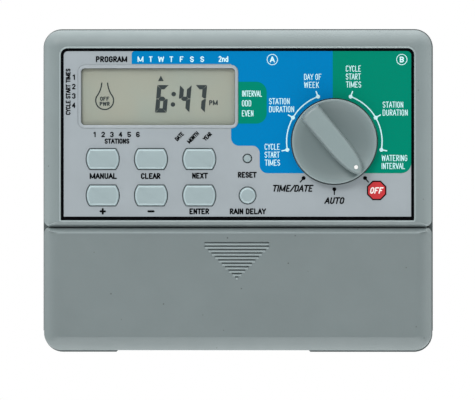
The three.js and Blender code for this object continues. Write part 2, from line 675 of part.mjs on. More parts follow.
// Four screws driven from behind, through the rear case's wells into the front case's bosses.
function caseScrews() {
  CASE_SCREWS.forEach(([x, z], i) => {
    const seat = -15 + GAP;
    const head = rod(x, z, 2.8, seat, seat + 2.1, 20);
    const shank = rod(x, z, 1.35, -33, seat + 0.5, 12);
    const drive = join(
      box([x - 1.7, seat + 1, z - 0.4], [x + 1.7, seat + 3, z + 0.4]),
      box([x - 0.4, seat + 1, z - 1.7], [x + 0.4, seat + 3, z + 1.7]),
    );
    place(`case_screw_${i + 1}`, cut(join(head, shank), drive), steel);
  });
}

place("rear_case", rearCase(), casing);
place("front_case", frontCase(), casing);
place("terminal_cover", terminalCover(), coverPlastic);
place("faceplate", faceplate(), overlay);
display();
keys();
dial();
controlBoard();
terminalBoard();
battery();
caseScrews();

export default controller;
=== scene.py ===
"""Irrigation controller: fine surfaces, printed faceplate, materials, light and camera round the frame.

Lengths in this file are millimetres in the frame's own axes (+X right, +Y into the wall, +Z up) and
become metres where a mesh is made. Places come from the CAD nodes' boxes.
"""
import json
import math
from contextlib import contextmanager

import bmesh
import bpy
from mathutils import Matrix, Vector
from mathutils.geometry import delaunay_2d_cdt, tessellate_polygon

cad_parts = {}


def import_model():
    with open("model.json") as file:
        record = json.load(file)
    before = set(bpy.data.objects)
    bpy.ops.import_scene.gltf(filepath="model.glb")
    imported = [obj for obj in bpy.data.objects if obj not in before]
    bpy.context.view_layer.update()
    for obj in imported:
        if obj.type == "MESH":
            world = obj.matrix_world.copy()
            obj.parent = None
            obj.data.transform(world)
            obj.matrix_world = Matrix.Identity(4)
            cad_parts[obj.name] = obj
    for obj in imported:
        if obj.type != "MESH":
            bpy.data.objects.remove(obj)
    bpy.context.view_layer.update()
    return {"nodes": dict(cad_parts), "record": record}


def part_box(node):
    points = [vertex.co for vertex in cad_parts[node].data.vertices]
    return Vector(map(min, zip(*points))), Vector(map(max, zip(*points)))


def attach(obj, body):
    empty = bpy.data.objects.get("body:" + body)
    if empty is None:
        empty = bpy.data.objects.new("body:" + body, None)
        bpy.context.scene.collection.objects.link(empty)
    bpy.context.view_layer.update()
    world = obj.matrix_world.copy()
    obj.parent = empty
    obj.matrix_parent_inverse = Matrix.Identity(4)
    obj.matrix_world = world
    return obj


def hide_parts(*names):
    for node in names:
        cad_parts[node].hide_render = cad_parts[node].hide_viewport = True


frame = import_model()

# ---- driving values ----
MM = 0.001
WALL = 2.2  # moulded walls
EDGE_ROUND = 8.0  # outer edges of both front shells
FRONT_CORNER = 8.6  # corners of the front shells
REAR_CORNER = 9.3  # corners of the rear case
SEAM_CORNER = 3.2  # corners of the shells where the seam runs out to the sides
INNER_TIGHT, INNER_WIDE = 0.4, FRONT_CORNER - WALL  # the same corners inside the walls
INK = 0.03  # thickness of one printed layer
SINK = 0.005  # how far a printed layer reaches into what it lies on
POCKET_GAP = 0.05  # how much deeper the faceplate's pocket is than the faceplate
DIAL_REST = 140.0  # degrees clockwise from straight up
DISPLAY_LIP = 1.7  # from the display's opening to the faceplate, round the raised lip
LIP_GAP = 0.1  # clearance between the lip and the faceplate
DISPLAY_CORNER = 1.8
DISPLAY_W, DISPLAY_H = 76.4, 28.2  # what shows inside the lip
KEY_GAP = 0.4  # clearance round each key
KEY_FLANGE_Y = -36.7  # front of the flange that holds a key in
DIAL_RIM_Y = -43.3  # front of the dial's rim, round the grip
WELL_FLOOR_Y = -37.4  # floor of the well that the dial sits in
SEAM_TOP = -17.74  # lower edge of the upper shell


def box_mm(node):
    """The lowest and highest corner of a CAD node, in millimetres."""
    low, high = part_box(node)
    return low / MM, high / MM


def middle(node):
    low, high = box_mm(node)
    return (low + high) / 2


REAR_LOW, REAR_HIGH = box_mm("rear_case")
FRONT_LOW, FRONT_HIGH = box_mm("front_case")
COVER_LOW, COVER_HIGH = box_mm("terminal_cover")
PLATE_LOW, PLATE_HIGH = box_mm("faceplate")
FRONT_Y = FRONT_LOW.y
PLATE_Y = PLATE_LOW.y
POCKET_Y = PLATE_HIGH.y + POCKET_GAP
SHELL_BACK = REAR_LOW.y - 0.2  # where the front shells end, just short of the rear case
DIAL = middle("dial_knob")
DIAL_RADIUS = (box_mm("dial_knob")[1].x - box_mm("dial_knob")[0].x) / 2
DIAL_WELL = DIAL_RADIUS + 0.55
DISPLAY = middle("display_bezel")


# ---- outlines in front view, as lists of (x, z) ----
def arc(x, z, radius, start, end, steps):
    """Points on a circle; angles in degrees, anticlockwise from +X as seen from the front."""
    turns = [math.radians(start + (end - start) * i / steps) for i in range(steps + 1)]
    return [(x + radius * math.cos(a), z + radius * math.sin(a)) for a in turns]


def disc(x, z, radius, steps):
    return arc(x, z, radius, 0, 360, steps)[:-1]


def rounded(x0, x1, z0, z1, radii, steps):
    """A rectangle with the corner radii (bottom left, bottom right, top right, top left)."""
    corners = [(x0, z0, 1, 1), (x1, z0, -1, 1), (x1, z1, -1, -1), (x0, z1, 1, -1)]
    points = []
    for (x, z, sx, sz), radius, start in zip(corners, radii, (180, 270, 0, 90)):
        if radius:
            points += arc(x + sx * radius, z + sz * radius, radius, start, start + 90, steps)
        else:
            points.append((x, z))
    return points


def centred(x, z, width, height, radius, steps=8):
    return rounded(x - width / 2, x + width / 2, z - height / 2, z + height / 2, (radius,) * 4, steps)


def around_box(node, margin, corner, steps=8):
    """The outline of a CAD node's box, grown by margin."""
    low, high = box_mm(node)
    size = high - low
    centre = (low + high) / 2
    return centred(centre.x, centre.z, size.x + 2 * margin, size.z + 2 * margin, corner, steps)


def plate_outline(grow, low_grow, lower, upper, steps=12):
    """The faceplate's outline, grown by low_grow at its lower edge and by grow elsewhere."""
    return rounded(
        PLATE_LOW.x - grow, PLATE_HIGH.x + grow, PLATE_LOW.z - low_grow, PLATE_HIGH.z + grow,
        (lower, lower, upper, upper), steps,
    )


def barrel(x, z, width, height, bow):
    """Straight above and below, with both ends bowed out by bow."""
    radius = ((height / 2) ** 2 + bow**2) / (2 * bow)
    sweep = math.degrees(math.asin(height / 2 / radius))
    reach = width / 2 - radius
    right = arc(x + reach, z, radius, -sweep, sweep, 16)
    return right + arc(x - reach, z, radius, 180 - sweep, 180 + sweep, 16)


def inset(outline, distance):
    """The outline moved inwards, with mitred corners. Outlines run anticlockwise."""
    moved = []
    count = len(outline)
    for i, point in enumerate(outline):
        here = Vector(point)
        into = (here - Vector(outline[i - 1])).normalized()
        out = (Vector(outline[(i + 1) % count]) - here).normalized()
        bisector = Vector((-(into.y + out.y), into.x + out.x)).normalized()
        cosine = max(0.35, bisector.dot(Vector((-out.y, out.x))))
        moved.append(tuple(here + bisector * (distance / cosine)))
    return moved


def quarter(radius, steps=16):
    """A rounded edge, from the side to the front, as (pulled in, depth) pairs."""
    turns = [math.pi / 2 * i / steps for i in range(steps + 1)]
    return [(radius * (1 - math.cos(a)), radius * (1 - math.sin(a))) for a in turns]


# ---- meshes ----
def scene_object(name, data):
    made = bpy.data.objects.new(name, data)
    bpy.context.scene.collection.objects.link(made)
    return made


@contextmanager
def editing(mesh):
    """The mesh as a bmesh, written back afterwards."""
    work = bmesh.new()
    work.from_mesh(mesh)
    yield work
    work.to_mesh(mesh)
    work.free()


def mesh_object(name, points, faces):
    mesh = bpy.data.meshes.new(name)
    mesh.from_pydata([Vector(p) * MM for p in points], [], faces)
    with editing(mesh) as work:
        bmesh.ops.remove_doubles(work, verts=work.verts, dist=1e-7)
        bmesh.ops.recalc_face_normals(work, faces=work.faces)
    return scene_object(name, mesh)


def loft(name, rings, closed=False):
    """A skin over rings of equally many points, capped at both ends unless it closes on itself."""
    size = len(rings[0])
    points = [p for ring in rings for p in ring]
    spans = len(rings) if closed else len(rings) - 1
    faces = []
    for i in range(spans):
        a, b = i * size, (i + 1) % len(rings) * size
        faces += [(a + j, a + (j + 1) % size, b + (j + 1) % size, b + j) for j in range(size)]
    if not closed:
        faces += [tuple(range(size)), tuple(range(len(points) - size, len(points)))]
    return mesh_object(name, points, faces)


def at_depth(outline, y):
    return [(x, y, z) for x, z in outline]


def prism(name, outline, y_front, y_back, edge=0.0):
    """An outline extruded along y, with its front edge rounded to the radius edge."""
    front = [at_depth(outline, y_front)]
    if edge:
        front = [at_depth(inset(outline, pull), y_front + fall) for pull, fall in quarter(edge, 5)]
    return loft(name, [at_depth(outline, y_back), *front])


def rod(name, x, z, radius, y_front, y_back, edge=0.0, sides=48):
    return prism(name, disc(x, z, radius, sides), y_front, y_back, edge)


def block(name, low, high):
    outline = [(low[0], low[2]), (high[0], low[2]), (high[0], high[2]), (low[0], high[2])]
    return prism(name, outline, low[1], high[1])


def side_blocks(name, x, y, z):
    """The same block at the left and at the right; its x counts outwards from the middle."""
    sides = ((-x[1], -x[0]), x)
    return [block(name, (near, y[0], z[0]), (far, y[1], z[1])) for near, far in sides]


def slab(name, points, faces, y_front, y_back):
    """A flat figure of points and faces, given its thickness."""
    made = mesh_object(name, at_depth(points, y_front), faces)
    with editing(made.data) as work:
        pushed = bmesh.ops.extrude_face_region(work, geom=work.faces[:])
        moved = [g for g in pushed["geom"] if isinstance(g, bmesh.types.BMVert)]
        bmesh.ops.translate(work, verts=moved, vec=(0, (y_back - y_front) * MM, 0))
        bmesh.ops.recalc_face_normals(work, faces=work.faces)
    return made


def flat_sheet(name, outer, holes, y_front, y_back):
    """A flat plate of any outline with holes of any outline."""
    loops = [outer, *holes]
    triangles = tessellate_polygon([[Vector((x, z, 0)) for x, z in loop] for loop in loops])
    return slab(name, [p for loop in loops for p in loop], triangles, y_front, y_back)


def combine(body, tool, operation):
    step = body.modifiers.new("combine", "BOOLEAN")
    step.operation = operation
    step.solver = "EXACT"
    step.object = tool
    evaluated = body.evaluated_get(bpy.context.evaluated_depsgraph_get())
    mesh = bpy.data.meshes.new_from_object(evaluated)
    body.modifiers.clear()
    body.data = mesh
    bpy.data.objects.remove(tool)


def carve(body, *tools):
    for tool in tools:
        combine(body, tool, "DIFFERENCE")
    return body


def weld(body, *tools):
    for tool in tools:
        combine(body, tool, "UNION")


def gather(name, parts):
    """All the parts as one object, each a solid of its own."""
    mesh = bpy.data.meshes.new(name)
    with editing(mesh) as together:
        for part in parts:
            together.from_mesh(part.data)
            bpy.data.objects.remove(part)
    return scene_object(name, mesh)


def smooth(made, sharp):
    """Smooth faces, with every edge that turns by more than sharp degrees kept crisp."""
    with editing(made.data) as work:
        bmesh.ops.remove_doubles(work, verts=work.verts, dist=1e-7)
        bmesh.ops.dissolve_degenerate(work, edges=work.edges, dist=1e-7)
        for face in work.faces:
            face.smooth = True
        for edge in work.edges:
            edge.smooth = edge.calc_face_angle(0.0) < math.radians(sharp)
    normals = made.modifiers.new("normals", "WEIGHTED_NORMAL")
    normals.keep_sharp = True
    normals.weight = 100


def finish_piece(made, slot, body="case", stands_for=(), sharp=32.0, material=None):
    """Smooths a piece, gives it its slot's material or another, and ties it to its body."""
    smooth(made, sharp)
    made.data.materials.clear()
    made.data.materials.append(material or MATERIALS[slot])
    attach(made, body)
    if stands_for:
        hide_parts(*stands_for)


# ---- materials ----
def linear(red, green, blue):
    """A colour given as display values from 0 to 255, as the shader takes it."""
    values = [c / 255 for c in (red, green, blue)]
    return [v / 12.92 if v <= 0.04045 else ((v + 0.055) / 1.055) ** 2.4 for v in values] + [1.0]


def toned(colour, factor):
    """The colour made brighter or darker."""
    return [min(1.0, c * factor) for c in colour[:3]] + [1.0]


class Tree:
    """A short way to write a node tree."""

    def __init__(self, tree):
        self.tree = tree

    def add(self, kind, **values):
        made = self.tree.nodes.new(kind)
        for key, value in values.items():
            setattr(made, key, value)
        return made

    def feed(self, value, target):
        """Sets a socket to a number or a colour, or links it to another node's output."""
        if isinstance(value, (int, float, list)):
            target.default_value = value
        else:
            self.tree.links.new(value, target)


MIX_INPUTS, MIX_RESULT = (0, 6, 7), 2  # a colour mix node's factor and two colours, and what it gives


class Surface(Tree):
    """A material's nodes; textures lie in the frame, in metres."""

    def __init__(self):
        self.material = bpy.data.materials.new("surface")
        self.material.use_nodes = True
        super().__init__(self.material.node_tree)
        self.shader = self.tree.nodes["Principled BSDF"]
        self.place = self.add("ShaderNodeTexCoord").outputs["Object"]

    def texture(self, kind, size_mm, place, **values):
        made = self.add(kind)
        made.inputs["Scale"].default_value = 1 / (size_mm * MM)
        for key, value in values.items():
            made.inputs[key.replace("_", " ")].default_value = value
        self.feed(place, made.inputs["Vector"])
        return made

    def noise(self, size_mm, detail=2.0, roughness=0.5):
        made = self.texture("ShaderNodeTexNoise", size_mm, self.place, Detail=detail, Roughness=roughness)
        return made.outputs["Fac"]

    def spread(self, source, low, high, from_low=0.3, from_high=0.7):
        """Maps the range from_low to from_high onto low to high."""
        made = self.add("ShaderNodeMapRange")
        for value, socket in zip((source, from_low, from_high, low, high), made.inputs):
            self.feed(value, socket)
        return made.outputs["Result"]

    def mix(self, factor, first, second):
        made = self.add("ShaderNodeMix", data_type="RGBA")
        for value, socket in zip((factor, first, second), MIX_INPUTS):
            self.feed(value, made.inputs[socket])
        return made.outputs[MIX_RESULT]

    def clouds(self, first, second, size_mm, detail=2.0, roughness=0.5):
        """Soft patches of two colours."""
        patches = self.spread(self.noise(size_mm, detail, roughness), 0.0, 1.0)
        return self.mix(patches, first, second)

    def bump(self, height, depth_mm, strength):
        made = self.add("ShaderNodeBump")
        made.inputs["Distance"].default_value = depth_mm * MM
        made.inputs["Strength"].default_value = strength
        self.feed(height, made.inputs["Height"])
        self.feed(made.outputs["Normal"], self.shader.inputs["Normal"])

    def colour(self, source):
        self.feed(source, self.shader.inputs["Base Color"])

    def gloss(self, low, high, size_mm):
        """Roughness that wanders between two values."""
        self.feed(self.spread(self.noise(size_mm), low, high), self.shader.inputs["Roughness"])


def moulded(colour, roughness, grain_mm=0.35, grain_depth=0.02, specks=0.0, mottle=0.05, painted_light=()):
    """Injection-moulded plastic: spark-eroded grain, faint flow clouding and, rarely, a dark speck.

    Painted light is a list of (start depth, full depth, how bright): set by depth alone, it paints
    highlights on what stands proud and paints shade on what lies deep.
    """
    n = Surface()
    tone = linear(*colour)
    shade = n.clouds(toned(tone, 1 - mottle), toned(tone, 1 + mottle), 28, 4.0, 0.6)
    grain = n.clouds(toned(tone, 0.97), toned(tone, 1.03), grain_mm * 1.7)
    shade = n.mix(0.35, shade, grain)
    if specks:
        cells = n.texture("ShaderNodeTexVoronoi", 9, n.place)
        spot = n.spread(cells.outputs["Distance"], specks, 0.0, 0.025, 0.055)
        shade = n.mix(spot, shade, toned(tone, 0.35))
    # painted light: each band of depth takes a brighter copy of the tone for a painted highlight, a
    # darker copy for painted shade
    for start, full, bright in painted_light:
        depth = n.add("ShaderNodeSeparateXYZ")
        n.feed(n.place, depth.inputs[0])
        painted_share = n.spread(depth.outputs["Y"], 0.0, 1.0, start * MM, full * MM)
        shade = n.mix(painted_share, shade, toned(tone, bright))
    n.colour(shade)
    n.gloss(roughness - 0.05, roughness + 0.06, 6)
    n.bump(n.noise(grain_mm, 3.0, 0.65), grain_depth, 0.6)
    return n.material


def coat(first, second, patches, gloss, grain, **settings):
    """Two close tones in soft patches, with wandering gloss and a fine grain.

    Patches is (size, detail), gloss (lowest, highest, size), grain (size, detail, depth, strength),
    with sizes and depth in millimetres.
    """
    n = Surface()
    n.colour(n.clouds(first, second, *patches))
    n.gloss(*gloss)
    size, detail, depth, strength = grain
    n.bump(n.noise(size, detail), depth, strength)
    for key, value in settings.items():
        n.shader.inputs[key.replace("_", " ")].default_value = value
    return n.material


def ink(colour, roughness=0.42, shine=0.08):
    """Screen-printed ink: even colour with the fine tooth of the overlay under it."""
    tone = linear(*colour)
    pale = [c * 0.94 + 0.002 for c in tone[:3]] + [1.0]
    gloss = (roughness - 0.05, roughness + 0.05, 3)
    return coat(pale, tone, (0.9, 3), gloss, (0.25, 2, 0.006, 0.5), Specular_IOR_Level=shine)


def overlay(colour):
    """Velvet-textured polyester sheet printed from behind in plain grey."""
    tone = linear(*colour)
    low, high = toned(tone, 0.965), toned(tone, 1.03)
    return coat(low, high, (16, 3), (0.36, 0.48, 2), (0.22, 2, 0.008, 0.6))


def display_ground():
    """Reflective liquid crystal: grey-green, clouded, with a fine satin polariser."""
    warm, cool = linear(169, 172, 157), linear(163, 172, 160)
    return coat(warm, cool, (22, 2), (0.3, 0.4, 1.2), (0.15, 2, 0.003, 0.4))


def clear_window():
    low, high = linear(150, 156, 154), linear(160, 166, 164)
    return coat(low, high, (30, 2), (0.04, 0.09, 12), (18, 2, 0.01, 0.2), Alpha=0.05)


def metal(colour):
    """Zinc-plated or brushed steel with fine turning marks."""
    tone = linear(*colour)
    return coat(toned(tone, 0.8), tone, (2.5, 5), (0.22, 0.45, 0.8), (0.12, 4, 0.008, 0.5), Metallic=1.0)


def laminate():
    """Green solder mask over copper: lighter traces in a right-angled pattern."""
    n = Surface()
    board, trace = linear(14, 84, 44), linear(38, 122, 66)
    turned = n.add("ShaderNodeMapping")
    turned.inputs["Rotation"].default_value = (math.pi / 2, 0, 0)
    n.feed(n.place, turned.inputs["Vector"])
    cells = n.texture(
        "ShaderNodeTexBrick", 7, turned.outputs["Vector"], Mortar_Size=0.06,
        Color1=board, Color2=toned(board, 0.9), Mortar=trace,
    )
    cells.offset, cells.squash, cells.squash_frequency = 0.37, 1.7, 3
    n.colour(n.mix(n.spread(n.noise(9), 0.0, 0.35), cells.outputs["Color"], board))
    n.gloss(0.22, 0.36, 4)
    n.bump(cells.outputs["Fac"], 0.03, 0.6)
    return n.material


def sleeve(colour):
    """Thin shrink sleeve or dipped coating: glossy, with long soft ripples."""
    tone = linear(*colour)
    return coat(toned(tone, 0.86), tone, (5, 3), (0.24, 0.38, 3), (2.2, 2, 0.04, 0.5))


MATERIALS = {
    # case plastic: painted highlight, 1.42 times as bright, on the bead that stands proud round the
    # faceplate's pocket; painted shade, 0.48, on everything deeper than 20.05 mm, the rear case and its
    # ledge round the front shells
    "case_plastic": moulded(
        (129, 141, 142), 0.5, specks=0.75, painted_light=[(-40.03, -40.22, 1.42), (-20.15, -20.05, 0.48)]
    ),
    # cover plastic: painted highlight, 1.5 times as bright, on the grip's ridges and the raised rim,
    # where they stand proud of the front
    "cover_plastic": moulded((119, 130, 131), 0.5, specks=0.95, painted_light=[(-40.03, -40.15, 1.5)]),
    "faceplate_print": overlay((160, 169, 174)),
    # key plastic: painted highlight, 1.3 times as bright, on each key's chamfered edge; deeper than 40 mm
    # the tone is plain again
    "key_plastic": moulded(
        (156, 173, 176), 0.4, grain_mm=0.5, grain_depth=0.008,
        painted_light=[(-40.84, -40.7, 1.3), (-40.2, -40.0, 1.0)],
    ),
    # dial plastic: painted shade, 0.66, on the grip's rounded top edges and flanks, plain again at the
    # rim, then painted shade, 0.8, on the dish as it deepens towards the grip
    "dial_plastic": moulded(
        (136, 152, 153), 0.45, grain_mm=0.4, grain_depth=0.012,
        painted_light=[(-49.3, -48.8, 0.66), (-45.0, -43.8, 1.0), (-43.4, -41.5, 0.8)],
    ),
    "window_clear": clear_window(),
    "lcd": display_ground(),
    "white_paint": ink((250, 250, 248), 0.35),
    "black_plastic": moulded((30, 31, 33), 0.45, mottle=0.1),
    "circuit_board": laminate(),
    "chip_black": moulded((34, 34, 36), 0.55, grain_mm=0.2, mottle=0.1),
    "steel": metal((205, 207, 208)),
    "terminal_plastic": moulded((40, 120, 62), 0.42, mottle=0.07),
    "rubber": moulded((38, 38, 40), 0.7, grain_mm=0.6, mottle=0.12),
    "battery_wrap": sleeve((48, 52, 60)),
    "capacitor_sleeve": sleeve((30, 48, 92)),
    "red_coating": sleeve((176, 34, 28)),
}
INKS = {
    "ink_black": ink((3, 4, 6), shine=0.03),
    "ink_white": ink((214, 250, 255)),
    "ink_sign": ink((252, 244, 240)),
    "ink_blue": ink((0, 126, 188), shine=0.02),
    "ink_green": ink((0, 134, 109), shine=0.02),
    "ink_red": ink((200, 60, 64), shine=0.05),
    # dark grey for the painted shadow line round the display window
    "ink_painted_shadow": ink((84, 88, 80)),
    "lcd_segment": ink((34, 47, 50)),
}
for material_name, dressing in {**MATERIALS, **INKS}.items():
    dressing.name = material_name


# ---- shells ----
def path_point(path, t):
    """The point reached after a share t of the path's steps."""
    step = t * (len(path) - 1)
    k = min(int(step), len(path) - 2)
    (pull, fall), (next_pull, next_fall) = path[k], path[k + 1]
    share = step - k
    return pull + (next_pull - pull) * share, fall + (next_fall - fall) * share


# How a shell's side turns into its front, from the wall inwards, as (pulled in, depth) pairs.
WIDE_PATH = quarter(EDGE_ROUND)
# The front case turns gently into the seam.
SEAM_PATH = [
    (0, 6), (0.11, 4.0), (0.23, 2.6), (0.4, 1.65), (0.68, 1.0), (1.1, 0.56), (1.6, 0.25), (2.1, 0.06),
    (2.55, 0),
]
# The cover falls steeply into it, behind a low raised rim.
RIM_PATH = [
    (0, 5), (0.25, 3.5), (0.65, 2.3), (1.1, 1.4), (1.6, 0.7), (2.0, 0.2), (2.35, -0.1), (2.75, -0.16),
    (3.3, 0),
]
# A slightly rounded bevel, crisp where it meets the front and the lower wall.
BEVEL_PATH = [
    (0, 8), (0, 6.5), (0, 5), (0, 4.15), (0.12, 3.9), (1.9, 2.6), (3.6, 1.6), (5.4, 0.72), (7.2, 0),
]


def shell_ring(limits, radii, paths, t, y_front, steps):
    """One ring round a shell whose four sides turn in by different amounts."""
    x0, x1, z0, z1 = limits
    (left, left_y), (right, right_y), (low, low_y), (high, high_y) = [
        path_point(path, t) for path in paths
    ]
    corners = [
        (x0, z0, 1, 1, left, low, left_y, low_y, 180),
        (x1, z0, -1, 1, right, low, low_y, right_y, 270),
        (x1, z1, -1, -1, right, high, right_y, high_y, 0),
        (x0, z1, 1, -1, left, high, high_y, left_y, 90),
    ]
    points = []
    for (x, z, sx, sz, in_x, in_z, y_start, y_end, start), corner in zip(corners, radii):
        radius = max(corner - max(in_x, in_z), 0.3)
        curve = arc(x + sx * (in_x + radius), z + sz * (in_z + radius), radius, start, start + 90, steps)
        for i, (px, pz) in enumerate(curve):
            share = i / steps
            ease = share * share * (3 - 2 * share)
            points.append((px, y_front + y_start + (y_end - y_start) * ease, pz))
    return points


def shell_form(name, limits, radii, paths, y_front, y_back, rings=16, steps=12):
    """A closed body whose front edges follow paths, one each for left, right, low and high side."""
    body = [shell_ring(limits, radii, paths, i / rings, y_front, steps) for i in range(rings + 1)]
    wall = [(x, y_back, z) for x, _, z in body[0]]
    return loft(name, [wall, *body])


def hollow_form(limits, radii, bend, y_front, y_back, rings):
    """The space inside a shell's walls."""
    inner = [limit + sign * WALL for limit, sign in zip(limits, (1, -1, 1, -1))]
    return shell_form("hollow", inner, radii, (quarter(bend),) * 4, y_front, y_back, rings, steps=6)


def screw_rods(name, radius, y_front, y_back):
    """A round bar on the axis of each case screw."""
    places = [middle(f"case_screw_{i}") for i in range(1, 5)]
    return [rod(name, p.x, p.z, radius, y_front, y_back) for p in places]


def front_shell():
    limits = (FRONT_LOW.x, FRONT_HIGH.x, SEAM_TOP, FRONT_HIGH.z)
    radii = (SEAM_CORNER, SEAM_CORNER, FRONT_CORNER, FRONT_CORNER)
    paths = (WIDE_PATH, WIDE_PATH, SEAM_PATH, WIDE_PATH)
    body = shell_form("front_case_shell", limits, radii, paths, FRONT_Y, SHELL_BACK)
    inner_y = POCKET_Y + WALL
    corners = (INNER_TIGHT, INNER_TIGHT, INNER_WIDE, INNER_WIDE)
    carve(body, hollow_form(limits, corners, EDGE_ROUND / 2, inner_y, SHELL_BACK + 1, rings=4))
    wall_left, wall_right = limits[0] + 2.4, limits[1] - 2.4
    wall_top = SEAM_TOP + WALL
    pocket = plate_outline(0.12, 0.2, 0.4, 3.4, steps=8)
    weld(
        body,
        block("skirt", (wall_left, SHELL_BACK - 1, SEAM_TOP), (wall_right, FRONT_HIGH.y, wall_top)),
        block("tongue", (wall_left, -37.2, SEAM_TOP - 0.26), (wall_right, -35.6, wall_top)),
        rod("well", DIAL.x, DIAL.z, DIAL_WELL + WALL, inner_y - 0.5, WELL_FLOOR_Y + 2, sides=96),
        *screw_rods("boss", 3.5, inner_y - 0.5, SHELL_BACK),
        pocket_lip(pocket),
    )
    before, behind = FRONT_Y - 1, -35
    carve(
        body,
        prism("pocket", pocket, before, POCKET_Y),
        rod("well", DIAL.x, DIAL.z, DIAL_WELL, before, WELL_FLOOR_Y, sides=128),
        rod("bore", DIAL.x, DIAL.z, 3.8, before, behind + 1),
        prism("opening", around_box("display_window", 0.1, 1), before, behind),
        *[prism("hole", key_outline(name, 0.0), before, behind) for name in KEY_NAMES],
        *screw_rods("pilot", 1.5, behind + 1, SHELL_BACK + 1),
    )
    finish_piece(body, "case_plastic", stands_for=["front_case"])


def pocket_lip(outline):
    """A low bead pressed up round the faceplate's pocket."""
    bead = [
        (0.0, 0.5), (0.0, -0.1), (0.1, -0.28), (0.34, -0.34), (0.62, -0.24), (0.88, 0.02), (0.88, 0.5)
    ]
    return loft("lip", [at_depth(inset(outline, -out), FRONT_Y + y) for out, y in bead], closed=True)


def cover_shell():
    limits = (COVER_LOW.x, COVER_HIGH.x, COVER_LOW.z, COVER_HIGH.z)
    radii = (FRONT_CORNER, FRONT_CORNER, SEAM_CORNER, SEAM_CORNER)
    paths = (WIDE_PATH, WIDE_PATH, BEVEL_PATH, RIM_PATH)
    back = COVER_HIGH.y
    body = shell_form("terminal_cover_shell", limits, radii, paths, FRONT_Y, back)
    corners = (INNER_WIDE, INNER_WIDE, INNER_TIGHT, INNER_TIGHT)
    carve(
        body,
        hollow_form(limits, corners, EDGE_ROUND - WALL, FRONT_Y + WALL, back + 1, rings=5),
        block("open_top", (limits[0] + WALL, -35, -60), (limits[1] - WALL, back + 1, limits[3] + 1)),
        block("rim", (-99, SHELL_BACK, -70.2), (99, 1, 1)),
    )
    weld(
        body,
        *side_blocks("blade", (92.5, 94.5), (-24, -13.5), (-66, -23)),
        *side_blocks("bead", (91.1, 94.5), (-15.6, -13.5), (-66, -23)),
        *[grip_bar(RIDGE, row, 0.5, -0.2) for row in range(GRIP_ROWS)],
    )
    carve(body, *[grip_bar(GROOVE, row, 0.0, 0.0) for row in range(GRIP_ROWS)])
    finish_piece(body, "cover_plastic", body="cover", stands_for=["terminal_cover"])


GRIP_ROWS = 11
GRIP_PITCH = 1.7
GRIP_X = -0.3
GRIP_TOP = -25.8  # middle of the highest groove
GRIP_REACH = 16.05  # half the length of the longest groove
# Half a groove, up or down from its middle, and how deep.
GROOVE = [(0.48, -0.5), (0.44, 0.0), (0.34, 0.28), (0.22, 0.6)]
# Half a ridge, likewise: a low rounded bar between two grooves.
RIDGE = [(0.52, 0.4), (0.52, 0.0), (0.42, -0.12), (0.24, -0.21), (0.0, -0.24)]


def grip_bar(half, row, row_offset, extra):
    """A level bar of the finger grip; each row is shorter than the one above, down to a point."""
    z = GRIP_TOP - (row + row_offset) * GRIP_PITCH
    reach = GRIP_REACH - max(0, row - 1) * GRIP_PITCH + extra
    lower = [(FRONT_Y + depth, z - rise) for rise, depth in half]
    upper = [(FRONT_Y + depth, z + rise) for rise, depth in reversed(half) if rise]
    return loft("bar", [[(x, y, z) for y, z in lower + upper] for x in (GRIP_X - reach, GRIP_X + reach)])


def rear_shell():
    low, high = REAR_LOW, REAR_HIGH
    outline = around_box("rear_case", 0, REAR_CORNER, 14)
    bend = [at_depth(inset(outline, pull), high.y - fall) for pull, fall in quarter(1.0, 5)]
    body = loft("rear_case_shell", [at_depth(outline, low.y), *bend])
    carve(body, prism("hollow", around_box("rear_case", -WALL, REAR_CORNER - WALL, 12), low.y - 1, -WALL))
    inside = -WALL + 0.5
    cell_low, cell_high = box_mm("battery")
    bay_top = cell_high.z + 2
    weld(
        body,
        *side_blocks("rail", (88.5, 90.5), (-18.5, inside), (-68, -21.5)),
        *side_blocks("lip", (88.5, 92.1), (-18.5, -16.3), (-68, -21.5)),
        block("cradle", (cell_low.x + 3, -14, cell_high.z + 0.4), (cell_high.x - 3, inside, bay_top)),
        block("fence", (cell_low.x - 8, -7, cell_low.z - 1.2), (cell_low.x - 6.4, inside, bay_top)),
        block("rib", (-93, -6, 10), (93, inside, 11.6)),
        *screw_rods("well", 4.2, low.y, inside),
        *[rod("post", x, z, 3, -7.9, inside) for x in (-74, 30) for z in (-8, -44)],
    )
    slot = [
        (-62.4, low.z - 1), (37.2, low.z - 1), (34.6, low.z + 1.6), (34.6, low.z + 3.4),
        (-59.5, low.z + 3.4), (-59.5, low.z + 1.6),
    ]
    carve(
        body,
        block("low_rim", (-99, -21, -90), (99, -12, -70)),
        prism("cable_slot", slot, -22, 1),
        *screw_rods("counterbore", 3.1, -15, 1),
        *screw_rods("through", 1.7, -21, 1),
        rod("keyhole", 0, 58, 4.6, -4, 1),
        prism("keyhole_slot", centred(0, 62.5, 4.8, 13.8, 2.39), -4, 1),
        prism("lower_slot", centred(0, -60, 4.8, 9, 2.39), -4, 1),
    )
    finish_piece(body, "case_plastic", stands_for=["rear_case"])


# ---- keys ----
KEY_NAMES = ["manual", "clear", "next", "plus", "minus", "enter", "rain_delay", "reset"]
ROUND_KEYS = {"rain_delay": 4.45, "reset": 2.4}  # radius of each round key's hole
KEY_W, KEY_H, KEY_BOW = 17.0, 10.9, 1.95  # the hole of a bowed key


def key_outline(name, grow):
    """A key's hole, grown by grow all round; a negative value gives the key itself."""
    centre = middle(f"key_{name}")
    if name in ROUND_KEYS:
        return disc(centre.x, centre.z, ROUND_KEYS[name] + grow, 48)
    return inset(barrel(centre.x, centre.z, KEY_W, KEY_H, KEY_BOW), -grow)


# A key's edge, drawn in and down from its face: a steep chamfer with softened corners.
KEY_EDGE = [(0.0, 1.5), (0.08, 1.25), (0.2, 1.0), (0.55, 0.5), (0.85, 0.12), (1.0, 0.03), (1.2, 0.0)]


